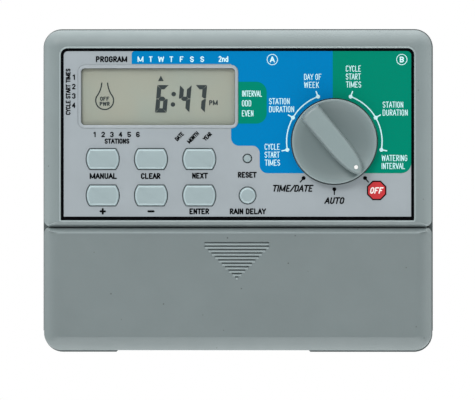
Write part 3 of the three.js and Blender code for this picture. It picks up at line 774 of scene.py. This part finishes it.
def key_piece(name):
    """A cap with a chamfered edge and a slightly crowned face, on its flange and stem."""
    low, high = box_mm(f"key_{name}")
    centre = (low + high) / 2
    outline = key_outline(name, -KEY_GAP)
    shrink, crown = (0.35, 0.05) if name == "reset" else (1.0, 0.15)
    rings = [at_depth(outline, KEY_FLANGE_Y + 0.3)]
    for pull, fall in KEY_EDGE:
        rings.append(at_depth(inset(outline, pull * shrink), low.y + crown + fall * shrink))
    face = inset(outline, KEY_EDGE[-1][0] * shrink)
    for share in (0.85, 0.6, 0.3):
        shrunk = [(centre.x + (x - centre.x) * share, centre.z + (z - centre.z) * share) for x, z in face]
        rings.append(at_depth(shrunk, low.y + crown * share**2))
    cap = loft(f"key_{name}_cap", rings)
    weld(
        cap,
        prism("flange", key_outline(name, 0.9), KEY_FLANGE_Y, KEY_FLANGE_Y + 1.2),
        rod("stem", centre.x, centre.z, 1.7, KEY_FLANGE_Y + 1, high.y, sides=32),
    )
    finish_piece(cap, "key_plastic", body=name, stands_for=[f"key_{name}"], sharp=40)


# ---- dial ----
def compass(angle, radius, across=0.0):
    """A point round the dial: its angle is in degrees clockwise from straight up."""
    turn = math.radians(angle)
    x = radius * math.sin(turn) + across * math.cos(turn)
    z = radius * math.cos(turn) - across * math.sin(turn)
    return DIAL.x + x, DIAL.z + z


def dial_knob():
    top = box_mm("dial_knob")[0].y
    profile = [(DIAL_RADIUS, WELL_FLOOR_Y - 0.9)]
    profile += [(DIAL_RADIUS - pull, DIAL_RIM_Y + fall) for pull, fall in quarter(0.55, 5)]
    profile += [(DIAL_RADIUS - reach, DIAL_RIM_Y + fall) for reach, fall in DIAL_DISH]
    body = loft("dial_knob_body", [at_depth(disc(DIAL.x, DIAL.z, r, 160), y) for r, y in profile])
    weld(body, grip_blade(DIAL_RIM_Y + 4.2, top))
    spot = compass(DIAL_REST, 16.7)
    carve(
        body,
        rod("bore", DIAL.x, DIAL.z, 3.1, -46.2, -30),
        rod("dot_seat", *spot, 1.12, top - 1, top + 1.4),
    )
    finish_piece(body, "dial_plastic", body="dial", stands_for=["dial_knob"], sharp=38)
    dot = rod("dial_dot", *spot, 1.06, top + 0.2, top + 1.35, edge=0.12)
    finish_piece(dot, "white_paint", body="dial", stands_for=["dial_pointer_dot"])


# The dial's front, from its rim inwards, as (in from the edge, below the rim).
DIAL_DISH = [(1.0, 0.05), (1.4, 0.35), (2.4, 1.0), (6.5, 2.3), (11.5, 3.3), (16.0, 3.7), (19.8, 3.8)]
BLADE_HALF = 5.1  # half the grip's width at the middle
BLADE_TIP = 20.5  # how far the pointed end reaches from the dial's axis
BLADE_HEEL = 20.0  # and the blunt end


def blade_outline(pull):
    """The grip from above, drawn in by pull: a blunt end, straight flanks and a round-nosed tip."""
    nose = []
    for i in range(25):
        share = math.sin(math.pi / 2 * i / 24)
        nose.append((BLADE_TIP * share, BLADE_HALF * math.sqrt(1 - share**2.5)))
    heel = [(-math.sqrt(BLADE_HEEL**2 - c * c), c) for c in (1.0, 2.5, 4.0)]
    right = [*heel, (-19.4, 4.6), (-19.0, 5.1), (-18.5, 5.35), *nose]
    loop = right + [(a, -c) for a, c in reversed(right) if c > 0]
    shorten = 1 - pull / BLADE_TIP
    narrow = 1 - pull / BLADE_HALF
    return [compass(DIAL_REST, along * shorten, across * narrow) for along, across in loop]


def grip_blade(y_base, y_top):
    """The raised grip: drafted flanks, rounded top edges and a back that falls towards both ends."""
    draft, edge = 0.5, 1.9
    rings = []
    for pull, fall in [(-draft, y_base - y_top), *quarter(edge, 7)]:
        raised = 1 - fall / (y_base - y_top)
        ring = []
        for x, z in blade_outline(pull):
            reach = math.hypot(x - DIAL.x, z - DIAL.z) / BLADE_TIP
            ring.append((x, y_top + fall + 0.15 * raised * reach**2, z))
        rings.append(ring)
    return loft("blade", rings)


# ---- faceplate and display ----
def faceplate_sheet():
    holes = [
        around_box("display_bezel", LIP_GAP, DISPLAY_CORNER + DISPLAY_LIP, 12),
        disc(DIAL.x, DIAL.z, DIAL_WELL, 128),
        *[key_outline(name, 0.0) for name in KEY_NAMES],
    ]
    outline = plate_outline(0.1, 0.18, 0.3, 3.3)
    sheet = flat_sheet("faceplate_sheet", outline, holes, PLATE_LOW.y, PLATE_HIGH.y)
    finish_piece(sheet, "faceplate_print", stands_for=["faceplate"])


def display_lip():
    """A half-round bead pressed up round the display."""
    low, high = box_mm("display_bezel")
    width = DISPLAY_LIP - LIP_GAP
    outer = around_box("display_bezel", 0, DISPLAY_CORNER + width, 10)
    back = high.y - low.y
    bead = [
        (0.0, back), (0.0, 0.45), (0.12, 0.22), (0.4, 0.05), (0.75, 0.0), (1.1, 0.08), (1.4, 0.3),
        (width, 0.62), (width, back),
    ]
    rings = [at_depth(inset(outer, pulled), low.y + fall) for pulled, fall in bead]
    lip = loft("display_lip", rings, closed=True)
    finish_piece(lip, "faceplate_print", stands_for=["display_bezel"], sharp=60)


# ---- flat shapes built from strokes ----
def capsule(start, end, width):
    """A straight bar with round ends."""
    a, b = Vector(start), Vector(end)
    heading = math.degrees(math.atan2(b.y - a.y, b.x - a.x))
    return [
        *arc(b.x, b.y, width / 2, heading - 90, heading + 90, 6),
        *arc(a.x, a.y, width / 2, heading + 90, heading + 270, 6),
    ]


def stroke(points, width):
    """A pen line through the points, as overlapping bars."""
    return [capsule(a, b, width) for a, b in zip(points, points[1:])]


def flat_union(name, outlines, y_front, y_back):
    """The area that any of the outlines covers, as one thin solid."""
    corners = []
    faces = []
    for outline in outlines:
        faces.append(list(range(len(corners), len(corners) + len(outline))))
        corners += [Vector(p) for p in outline]
    merged, _, triangles, _, _, sources = delaunay_2d_cdt(corners, [], faces, 1, 1e-5)
    covered = [triangle for triangle, source in zip(triangles, sources) if source]
    return slab(name, merged, covered, y_front, y_back)


# Each letter is one or more pen lines on a grid 6 high and as wide as it needs; "14" is column 1, row 4.
ALPHABET = {
    "A": "00-26-40 12-32",
    "B": "00-06-26-35-34-23-03 23-32-31-20-00",
    "C": "35-26-16-05-01-10-20-31",
    "D": "00-06-26-35-31-20-00",
    "E": "30-00-06-36 03-23",
    "F": "00-06-36 03-23",
    "G": "35-26-16-05-01-10-20-31-33-23",
    "H": "00-06 03-33 30-36",
    "I": "00-06",
    "K": "00-06 02-36 13-30",
    "L": "06-00-30",
    "M": "00-06-21-31-56-50",
    "N": "00-06-30-36",
    "O": "16-26-35-31-20-10-01-05-16",
    "P": "00-06-26-35-34-23-03",
    "R": "00-06-26-35-34-23-03 13-30",
    "S": "35-26-16-05-04-13-23-32-31-20-10-01",
    "T": "06-46 20-26",
    "U": "06-01-10-20-31-36",
    "V": "06-20-46",
    "W": "06-10-25-35-40-56",
    "X": "00-36 06-30",
    "Y": "06-23-46 23-20",
    "/": "00-36",
    "+": "03-43 21-25",
    "-": "03-43",
    "1": "05-16-10",
    "2": "05-16-26-35-34-00-30",
    "3": "05-16-26-35-34-23-32-31-20-10-01",
    "4": "30-36-02-42",
    "5": "36-06-03-23-32-31-20-10-01",
    "6": "35-26-16-05-01-10-20-31-32-23-13-02",
    "d": "36-30 33-24-14-03-01-10-20-31",
    "n": "00-04 03-14-24-33-30",
}
LETTER_GAP = 2.1  # grid units between two letters' pen lines
WORD_GAP = 2.6
OPEN_LETTERS = "ATVY/"  # these stand closer to their neighbours, by KERN on each side
KERN = 0.6


def pen_lines(text):
    """The text's pen lines in grid units, and its width."""
    lines = []
    cursor = 0.0
    for i, character in enumerate(text):
        if character == " ":
            cursor += WORD_GAP
            continue
        pair = text[i:i + 2]
        chains = [chain.split("-") for chain in ALPHABET[character].split()]
        for chain in chains:
            lines.append([(cursor + int(point[0]), int(point[1])) for point in chain])
        cursor += max(int(point[0]) for chain in chains for point in chain)
        cursor += LETTER_GAP - KERN * sum(letter in OPEN_LETTERS for letter in pair)
    return lines, cursor - LETTER_GAP + KERN * (text[-1] in OPEN_LETTERS)


def words(text, x, z, width, height, pen, slant=0.0, turn=0.0):
    """Lettering of a given overall width and capital height about its middle, as outlines."""
    lines, columns = pen_lines(text)
    across = (width - pen) / columns if columns else 0.0
    up = (height - pen) / 6
    lean = math.tan(math.radians(slant))
    angle = math.radians(turn)
    shapes = []
    for line in lines:
        placed = []
        for column, row in line:
            v = row * up + (pen - height) / 2
            u = (pen - width) / 2 + column * across + v * lean
            placed.append((
                x + u * math.cos(angle) - v * math.sin(angle),
                z + u * math.sin(angle) + v * math.cos(angle),
            ))
        shapes += stroke(placed, pen)
    return shapes


# ---- printed layers ----
MARK_RADIUS = 23.7  # of the dots round the dial
MARK_DOT = 0.97
FINE_LINE = 0.6
PROGRAM_ANGLES = ((-100, -60, -20), (20, 60, 100))
PLAIN_ANGLES = (-140, 180, 140)
BORDER = 1.45
SPLIT_X = DIAL.x - 0.8  # where the two programs' colours meet
FIELD_TOP = PLATE_HIGH.z - BORDER + 0.1
FIELD_LOW = 8.75
WINDOW_RIGHT = DISPLAY.x + DISPLAY_W / 2 + DISPLAY_LIP
WINDOW_LOW = DISPLAY.z - DISPLAY_H / 2 - DISPLAY_LIP
WINDOW_HIGH = DISPLAY.z + DISPLAY_H / 2 + DISPLAY_LIP
OFF_SIGN = (DIAL.x + 21.0, DIAL.z - 24.3)
LINE_PITCH = 3.95
DAY_LETTERS = "MTWTFSS"
DAY_X, DAY_PITCH = -48.2, 5.11
TOP_ROW_Z = 65.4  # middle of the lettering over the display
NUMBER_ROWS = [
    # how many, first x and z, step in x and z, width, height
    (4, -81.4, 56.5, 0.0, -4.67, 1.8, 2.75),
    (6, -71.1, 28.0, 4.32, 0.0, 1.85, 2.7),
]
BADGE_Z = 65.2
BADGES = [("A", 17.3, 65.3, 2.6, 3.0), ("B", 81.6, BADGE_Z, 2.1, 2.9)]  # letter, x, z, width, height

BLACK_WORDS = [
    # text, x, z, width, height, pen, slant, turn
    ("PROGRAM", -62.6, TOP_ROW_Z, 15.6, 3.0, 0.66, 0, 0),
    ("CYCLE START TIMES", -84.2, 49.25, 23.0, 2.4, 0.52, 0, 90),
    ("STATIONS", -59.9, 24.7, 12.3, 2.6, 0.56, 0, 0),
    ("DATE", -28.9, 27.0, 4.9, 2.2, 0.5, 0, 45),
    ("MONTH", -22.1, 26.5, 7.0, 2.2, 0.5, 0, 45),
    ("YEAR", -15.0, 27.0, 4.9, 2.2, 0.5, 0, 45),
    ("TIME/DATE", DIAL.x - 20.7, DIAL.z - 23.25, 20.2, 3.5, 0.66, 13, 0),
    ("AUTO", DIAL.x + 0.1, DIAL.z - 29.35, 9.6, 3.4, 0.68, 13, 0),
]
KEY_WORDS = {
    # name: text, width, height, how far right of the key's middle, how far below it
    "manual": ("MANUAL", 13.6, 2.95, 0.3, 8.45),
    "clear": ("CLEAR", 9.7, 2.95, -0.15, 8.45),
    "next": ("NEXT", 7.9, 2.95, 0.4, 8.3),
    "plus": ("+", 3.2, 4.4, 0, 7.9),
    "minus": ("-", 3.6, 3.4, 0, 7.9),
    "enter": ("ENTER", 9.8, 2.95, 0, 7.9),
    "rain_delay": ("RAIN DELAY", 18.1, 2.95, 0.2, 7.9),
    "reset": ("RESET", 9.4, 2.95, 0, 8.15),
}
WHITE_WORDS = [
    # lines, left edge x, first line's z, widths
    (("INTERVAL",), 2.3, 48.3, (9.9,)),
    (("ODD",), 2.2, 43.5, (4.6,)),
    (("EVEN",), 2.2, 38.5, (5.7,)),
    (("DAY OF", "WEEK"), DIAL.x - 15.05, DIAL.z + 32.1, (8.6, 7.4)),
    (("STATION", "DURATION"), DIAL.x - 32.4, DIAL.z + 20.0, (10.2, 12.4)),
    (("CYCLE", "START", "TIMES"), DIAL.x - 34.6, DIAL.z - 2.6, (7.5, 7.5, 7.6)),
    (("CYCLE", "START", "TIMES"), DIAL.x + 5.7, DIAL.z + 36.2, (7.5, 7.5, 7.6)),
    (("STATION", "DURATION"), DIAL.x + 24.0, DIAL.z + 18.3, (10.2, 12.4)),
    (("WATERING", "INTERVAL"), DIAL.x + 23.5, DIAL.z - 8.2, (12.7, 11.6)),
]


def printed(outer, holes=(), layer=1.0):
    """One inked area, layer times an ink layer proud of the faceplate."""
    return flat_sheet("area", outer, list(holes), PLATE_Y - INK * layer, PLATE_Y + SINK)


def lettered(shapes, layer):
    return flat_union("letters", shapes, PLATE_Y - INK * layer, PLATE_Y + SINK)


def mark(angle, tick):
    """A dot beside the dial and the short tick that leads to its label."""
    start = compass(angle, MARK_RADIUS)
    return [disc(*start, MARK_DOT, 32), capsule(start, compass(angle, MARK_RADIUS + tick), FINE_LINE)]


def track(first, last):
    """The arc that joins the dots of one program."""
    return stroke(arc(DIAL.x, DIAL.z, MARK_RADIUS, 90 - first, 90 - last, 30), FINE_LINE)


def dial_cut():
    return rod("dial_cut", DIAL.x, DIAL.z, DIAL_WELL + 0.02, PLATE_Y - 1, PLATE_Y + 1, sides=128)


def blue_field():
    """Program A's colour: a tab over the display, then down past it in two steps to the dial."""
    corner = DISPLAY_CORNER + DISPLAY_LIP
    tab_x, lobe, step_x, step_z = -52.6, -3.2, 11.0, 22.4
    turn_x = WINDOW_RIGHT - corner
    outline = [(tab_x, WINDOW_HIGH + 0.4), (turn_x, WINDOW_HIGH + 0.4)]
    outline += arc(turn_x, WINDOW_HIGH - corner, corner, 90, 0, 10)
    outline += arc(turn_x, WINDOW_LOW + corner, corner, 0, -90, 10)
    outline += [(lobe, WINDOW_LOW)]
    outline += arc(lobe + 4, step_z + 4, 4, 180, 270, 12)
    outline += arc(step_x - 3.7, step_z - 3.7, 3.7, 90, 0, 12)
    outline += arc(step_x + 4, FIELD_LOW + 4, 4, 180, 270, 12)
    outline += [(SPLIT_X, FIELD_LOW), (SPLIT_X, FIELD_TOP)]
    outline += arc(tab_x + 1.5, FIELD_TOP - 1.5, 1.5, 90, 180, 6)
    return carve(printed(outline), dial_cut())


def green_fields():
    """Program B's colour beside the dial, and the pill that names its choices."""
    right = PLATE_HIGH.x - BORDER + 0.1
    field = rounded(SPLIT_X, right, FIELD_LOW, FIELD_TOP, (0, 5, 2.1, 0), 12)
    pill = rounded(WINDOW_RIGHT, 14.5, 33.4, 54.2, (0, 5.2, 5.2, 0), 12)
    return [carve(printed(field), dial_cut()), printed(pill, layer=1.5)]


def border():
    inner = plate_outline(0.1 - BORDER, -BORDER - 0.18, 0.2, 2.1)
    return printed(plate_outline(0.09, 0.17, 0.3, 3.3), [inner], layer=1.6)


def octagon(x, z, across_flats):
    radius = across_flats / 2 / math.cos(math.pi / 8)
    return arc(x, z, radius, 22.5, 382.5, 8)[:-1]


def black_print():
    shapes = []
    for entry in BLACK_WORDS:
        shapes += words(*entry)
    for name, (text, width, height, right, drop) in KEY_WORDS.items():
        centre = middle(f"key_{name}")
        pen = 0.98 if text in "+-" else 0.66
        shapes += words(text, centre.x + right, centre.z - drop, width, height, pen)
    for count, x, z, step_x, step_z, width, height in NUMBER_ROWS:
        for i in range(count):
            shapes += words(str(i + 1), x + step_x * i, z + step_z * i, width if i else 1.2, height, 0.58)
    for angle in PLAIN_ANGLES:
        shapes += mark(angle, 2.6)
    rim = printed(octagon(*OFF_SIGN, 9.7), [octagon(*OFF_SIGN, 8.4)], layer=2)
    return [border(), rim, lettered(shapes, 2)]


def white_print():
    shapes = []
    for lines, left, z, widths in WHITE_WORDS:
        for i, (text, width) in enumerate(zip(lines, widths)):
            shapes += words(text, left + width / 2, z - LINE_PITCH * i, width, 3.05, 0.34)
    for i, letter in enumerate(DAY_LETTERS):
        wide = 2.9 if letter in "MW" else 1.8
        shapes += words(letter, DAY_X + DAY_PITCH * i, TOP_ROW_Z, wide, 2.85, 0.5)
    shapes += words("2nd", -7.0, 65.5, 4.8, 2.95, 0.5)
    for angles in PROGRAM_ANGLES:
        shapes += track(angles[0], angles[-1])
        for angle in angles:
            shapes += mark(angle, 2.7)
    for badge in BADGES:
        shapes += words(*badge, 0.6)
    rings = [
        printed(disc(x, BADGE_Z, 2.75, 48), [disc(x, BADGE_Z, 2.4, 48)], layer=2) for _, x, *_ in BADGES
    ]
    return [lettered(shapes, 2.5), *rings]


def print_layers():
    off = words("OFF", *OFF_SIGN, 6.3, 3.2, 0.62, slant=13)
    layers = {
        "blue": [blue_field()],
        "green": green_fields(),
        "red": [printed(octagon(*OFF_SIGN, 8.45), layer=2)],
        "black": black_print(),
        "white": white_print(),
        "sign": [lettered(off, 2.5)],
    }
    for colour, parts in layers.items():
        layer = gather(f"print_{colour}", parts)
        finish_piece(layer, "faceplate_print", material=INKS[f"ink_{colour}"])


# ---- liquid crystal picture ----
SEGMENTS = {"6": "acdefg", "4": "bcfg", "7": "abc"}
DIGIT_W, DIGIT_H, DIGIT_STROKE, DIGIT_LEAN = 5.8, 13.7, 2.15, 5.0


def segment_outline(key):
    """One bar of a seven-segment digit, from the digit's lower left corner, before it leans."""
    w, h, s = DIGIT_W, DIGIT_H, DIGIT_STROKE
    gap, mid, half = 0.14, h / 2, s / 2
    if key == "g":
        tip = [(half, mid), (s, mid - half), (w - s, mid - half)]
        return tip + [(w - x, h - z) for x, z in tip]
    bar = [(gap, 0), (w - gap, 0), (w - s, s), (s, s)]
    if key in "bcef":
        bar = [(0, gap), (s, s), (s, mid - half), (half - gap, mid - gap), (0, mid - gap)]
    if key in "abf":
        bar = [(x, h - z) for x, z in reversed(bar)]
    if key in "bc":
        bar = [(w - x, z) for x, z in reversed(bar)]
    return bar


def digit(character, x, z):
    lean = math.tan(math.radians(DIGIT_LEAN))
    bars = [segment_outline(key) for key in SEGMENTS[character]]
    return [[(x + px + pz * lean, z + pz) for px, pz in bar] for bar in bars]


def droplet(x, z):
    """An outline drop with an open neck, and two short words inside it."""
    radius, pen = 4.45, 0.64
    side = arc(0, 0, radius, -90, 28, 24)
    shoulder, pull, neck = Vector(side[-1]), Vector((1.75, 5.0)), Vector((1.45, 8.7))
    for t in (i / 10 for i in range(1, 11)):
        side.append(tuple(shoulder * (1 - t) ** 2 + pull * 2 * t * (1 - t) + neck * t * t))
    shapes = []
    for mirror in (1, -1):
        shapes += stroke([(x + mirror * px, z + pz) for px, pz in side], pen)
    shapes += words("OFF", x, z + 0.9, 4.6, 2.1, 0.5)
    return shapes + words("PWR", x, z - 1.65, 5.0, 2.1, 0.5)


def lcd_picture():
    shapes = []
    for character, right in (("6", -1.6), ("4", 9.7), ("7", 17.4)):
        shapes += digit(character, DISPLAY.x + right, DISPLAY.z - 7.9)
    shapes += [
        disc(DISPLAY.x + 7.75, DISPLAY.z + 1.3, 1.14, 24),
        disc(DISPLAY.x + 7.35, DISPLAY.z - 3.85, 1.14, 24),
        [(DISPLAY.x - 0.05, 54.55), (DISPLAY.x + 2.75, 54.55), (DISPLAY.x + 1.35, 57.3)],
    ]
    shapes += words("PM", DISPLAY.x + 27.5, DISPLAY.z - 3.0, 4.3, 2.6, 0.58)
    shapes += droplet(DISPLAY.x - 26.6, DISPLAY.z - 1.9)
    front = box_mm("lcd_glass")[0].y
    picture = flat_union("lcd_segments", shapes, front - 0.04, front + SINK)
    finish_piece(picture, "lcd", material=INKS["lcd_segment"])


def window_shadow_line():
    """A thin dark line on the window where the raised lip meets it: the lip's painted shadow, widest on
    the left and top as if cast from the upper left.
    """
    front = box_mm("display_window")[0].y
    outer = centred(DISPLAY.x, DISPLAY.z, DISPLAY_W + 0.4, DISPLAY_H + 0.4, DISPLAY_CORNER)
    # the inner edge moves right and down, so the painted shadow is widest on the left and top
    wide, high, shadow_shift = DISPLAY_W - 0.42, DISPLAY_H - 0.42, 0.08
    inner = centred(DISPLAY.x + shadow_shift, DISPLAY.z - shadow_shift, wide, high, DISPLAY_CORNER)
    line = flat_sheet("window_shadow_line", outer, [inner], front - INK, front + SINK)
    finish_piece(line, "lcd", material=INKS["ink_painted_shadow"])


# ---- carried-over CAD nodes ----
def dress_cad_nodes():
    """Every CAD node that still shows gets its slot's material."""
    slots = {row["node"]: row["material_slot"] for row in frame["record"]["subparts"]}
    for name, node in frame["nodes"].items():
        node.data.materials.clear()
        node.data.materials.append(MATERIALS[slots[name]])


# ---- light, floor and camera ----
TENT_LEVEL = 3.1  # brightness between the six directions
TENT_GAINS = {"Y": (-2.9, -2.3), "Z": (1.6, 0.85), "X": (-1.75, -1.4)}  # added towards - and + of an axis


def world():
    """A white tent: brightest above and below, dim where the camera stands and behind the object."""
    made = bpy.data.worlds.new("tent")
    bpy.context.scene.world = made
    made.use_nodes = True
    n = Tree(made.node_tree)
    n.tree.nodes.clear()

    def maths(operation, first, second):
        node = n.add("ShaderNodeMath", operation=operation)
        n.feed(first, node.inputs[0])
        n.feed(second, node.inputs[1])
        return node.outputs[0]

    axes = n.add("ShaderNodeSeparateXYZ")
    n.feed(n.add("ShaderNodeTexCoord").outputs["Generated"], axes.inputs[0])
    level = TENT_LEVEL
    for axis, gains in TENT_GAINS.items():
        for sign, gain in zip((-1.0, 1.0), gains):
            toward = maths("MAXIMUM", maths("MULTIPLY", axes.outputs[axis], sign), 0.0)
            level = maths("ADD", maths("MULTIPLY", toward, gain), level)
    tent = n.add("ShaderNodeBackground")
    n.feed(maths("MAXIMUM", level, 0.0), tent.inputs["Strength"])
    sky = n.add("ShaderNodeBackground")
    sky.inputs["Color"].default_value = (1, 1, 1, 1)
    blend = n.add("ShaderNodeMixShader")
    n.feed(n.add("ShaderNodeLightPath").outputs["Is Camera Ray"], blend.inputs["Fac"])
    n.feed(tent.outputs[0], blend.inputs[1])
    n.feed(sky.outputs[0], blend.inputs[2])
    n.feed(blend.outputs[0], n.add("ShaderNodeOutputWorld").inputs["Surface"])


def key_light():
    """A soft round lamp high on the left, aimed at the object."""
    lamp = bpy.data.lights.new("key", "AREA")
    lamp.shape = "DISK"
    lamp.size = 0.9
    lamp.energy = 23
    made = scene_object("key", lamp)
    made.visible_camera = False
    made.location = (-0.9, -1.6, 1.5)
    made.rotation_euler = (-made.location).to_track_quat("-Z", "Y").to_euler()


def floor():
    """A pale studio floor, far enough down for the cover to slide clear. The tent lights the object
    from below too, so the floor neither bounces nor blocks light."""
    corners = [(-4000, -4000), (4000, -4000), (4000, 1000), (-4000, 1000)]
    drop = REAR_LOW.z - 110
    made = mesh_object("studio_floor", [(x, y, drop) for x, y in corners], [(0, 1, 2, 3)])
    n = Surface()
    n.colour(n.mix(n.noise(400), linear(236, 237, 237), linear(240, 241, 241)))
    n.gloss(0.8, 0.9, 200)
    made.data.materials.append(n.material)
    made.visible_diffuse = made.visible_glossy = made.visible_transmission = False
    made.visible_shadow = False


def camera():
    """Square on, a little right of the middle and a little above it, through a very long lens."""
    data = bpy.data.cameras.new("camera")
    data.sensor_width = 36
    data.lens = 360
    data.clip_start, data.clip_end = 0.05, 50
    width_at_faceplate = 235.97
    distance = width_at_faceplate * data.lens / data.sensor_width
    target = Vector((0, PLATE_Y, -4.55)) * MM
    made = scene_object("camera", data)
    made.location = target + Vector((0.035, -distance * MM, 0.008))
    made.rotation_euler = (target - made.location).to_track_quat("-Z", "Y").to_euler()
    bpy.context.scene.camera = made
    bpy.context.scene.view_settings.view_transform = "Standard"


# ---- the model ----
camera()
world()
floor()
key_light()
dress_cad_nodes()
front_shell()
cover_shell()
rear_shell()
for key_name in KEY_NAMES:
    key_piece(key_name)
dial_knob()
faceplate_sheet()
display_lip()
window_shadow_line()
print_layers()
lcd_picture()
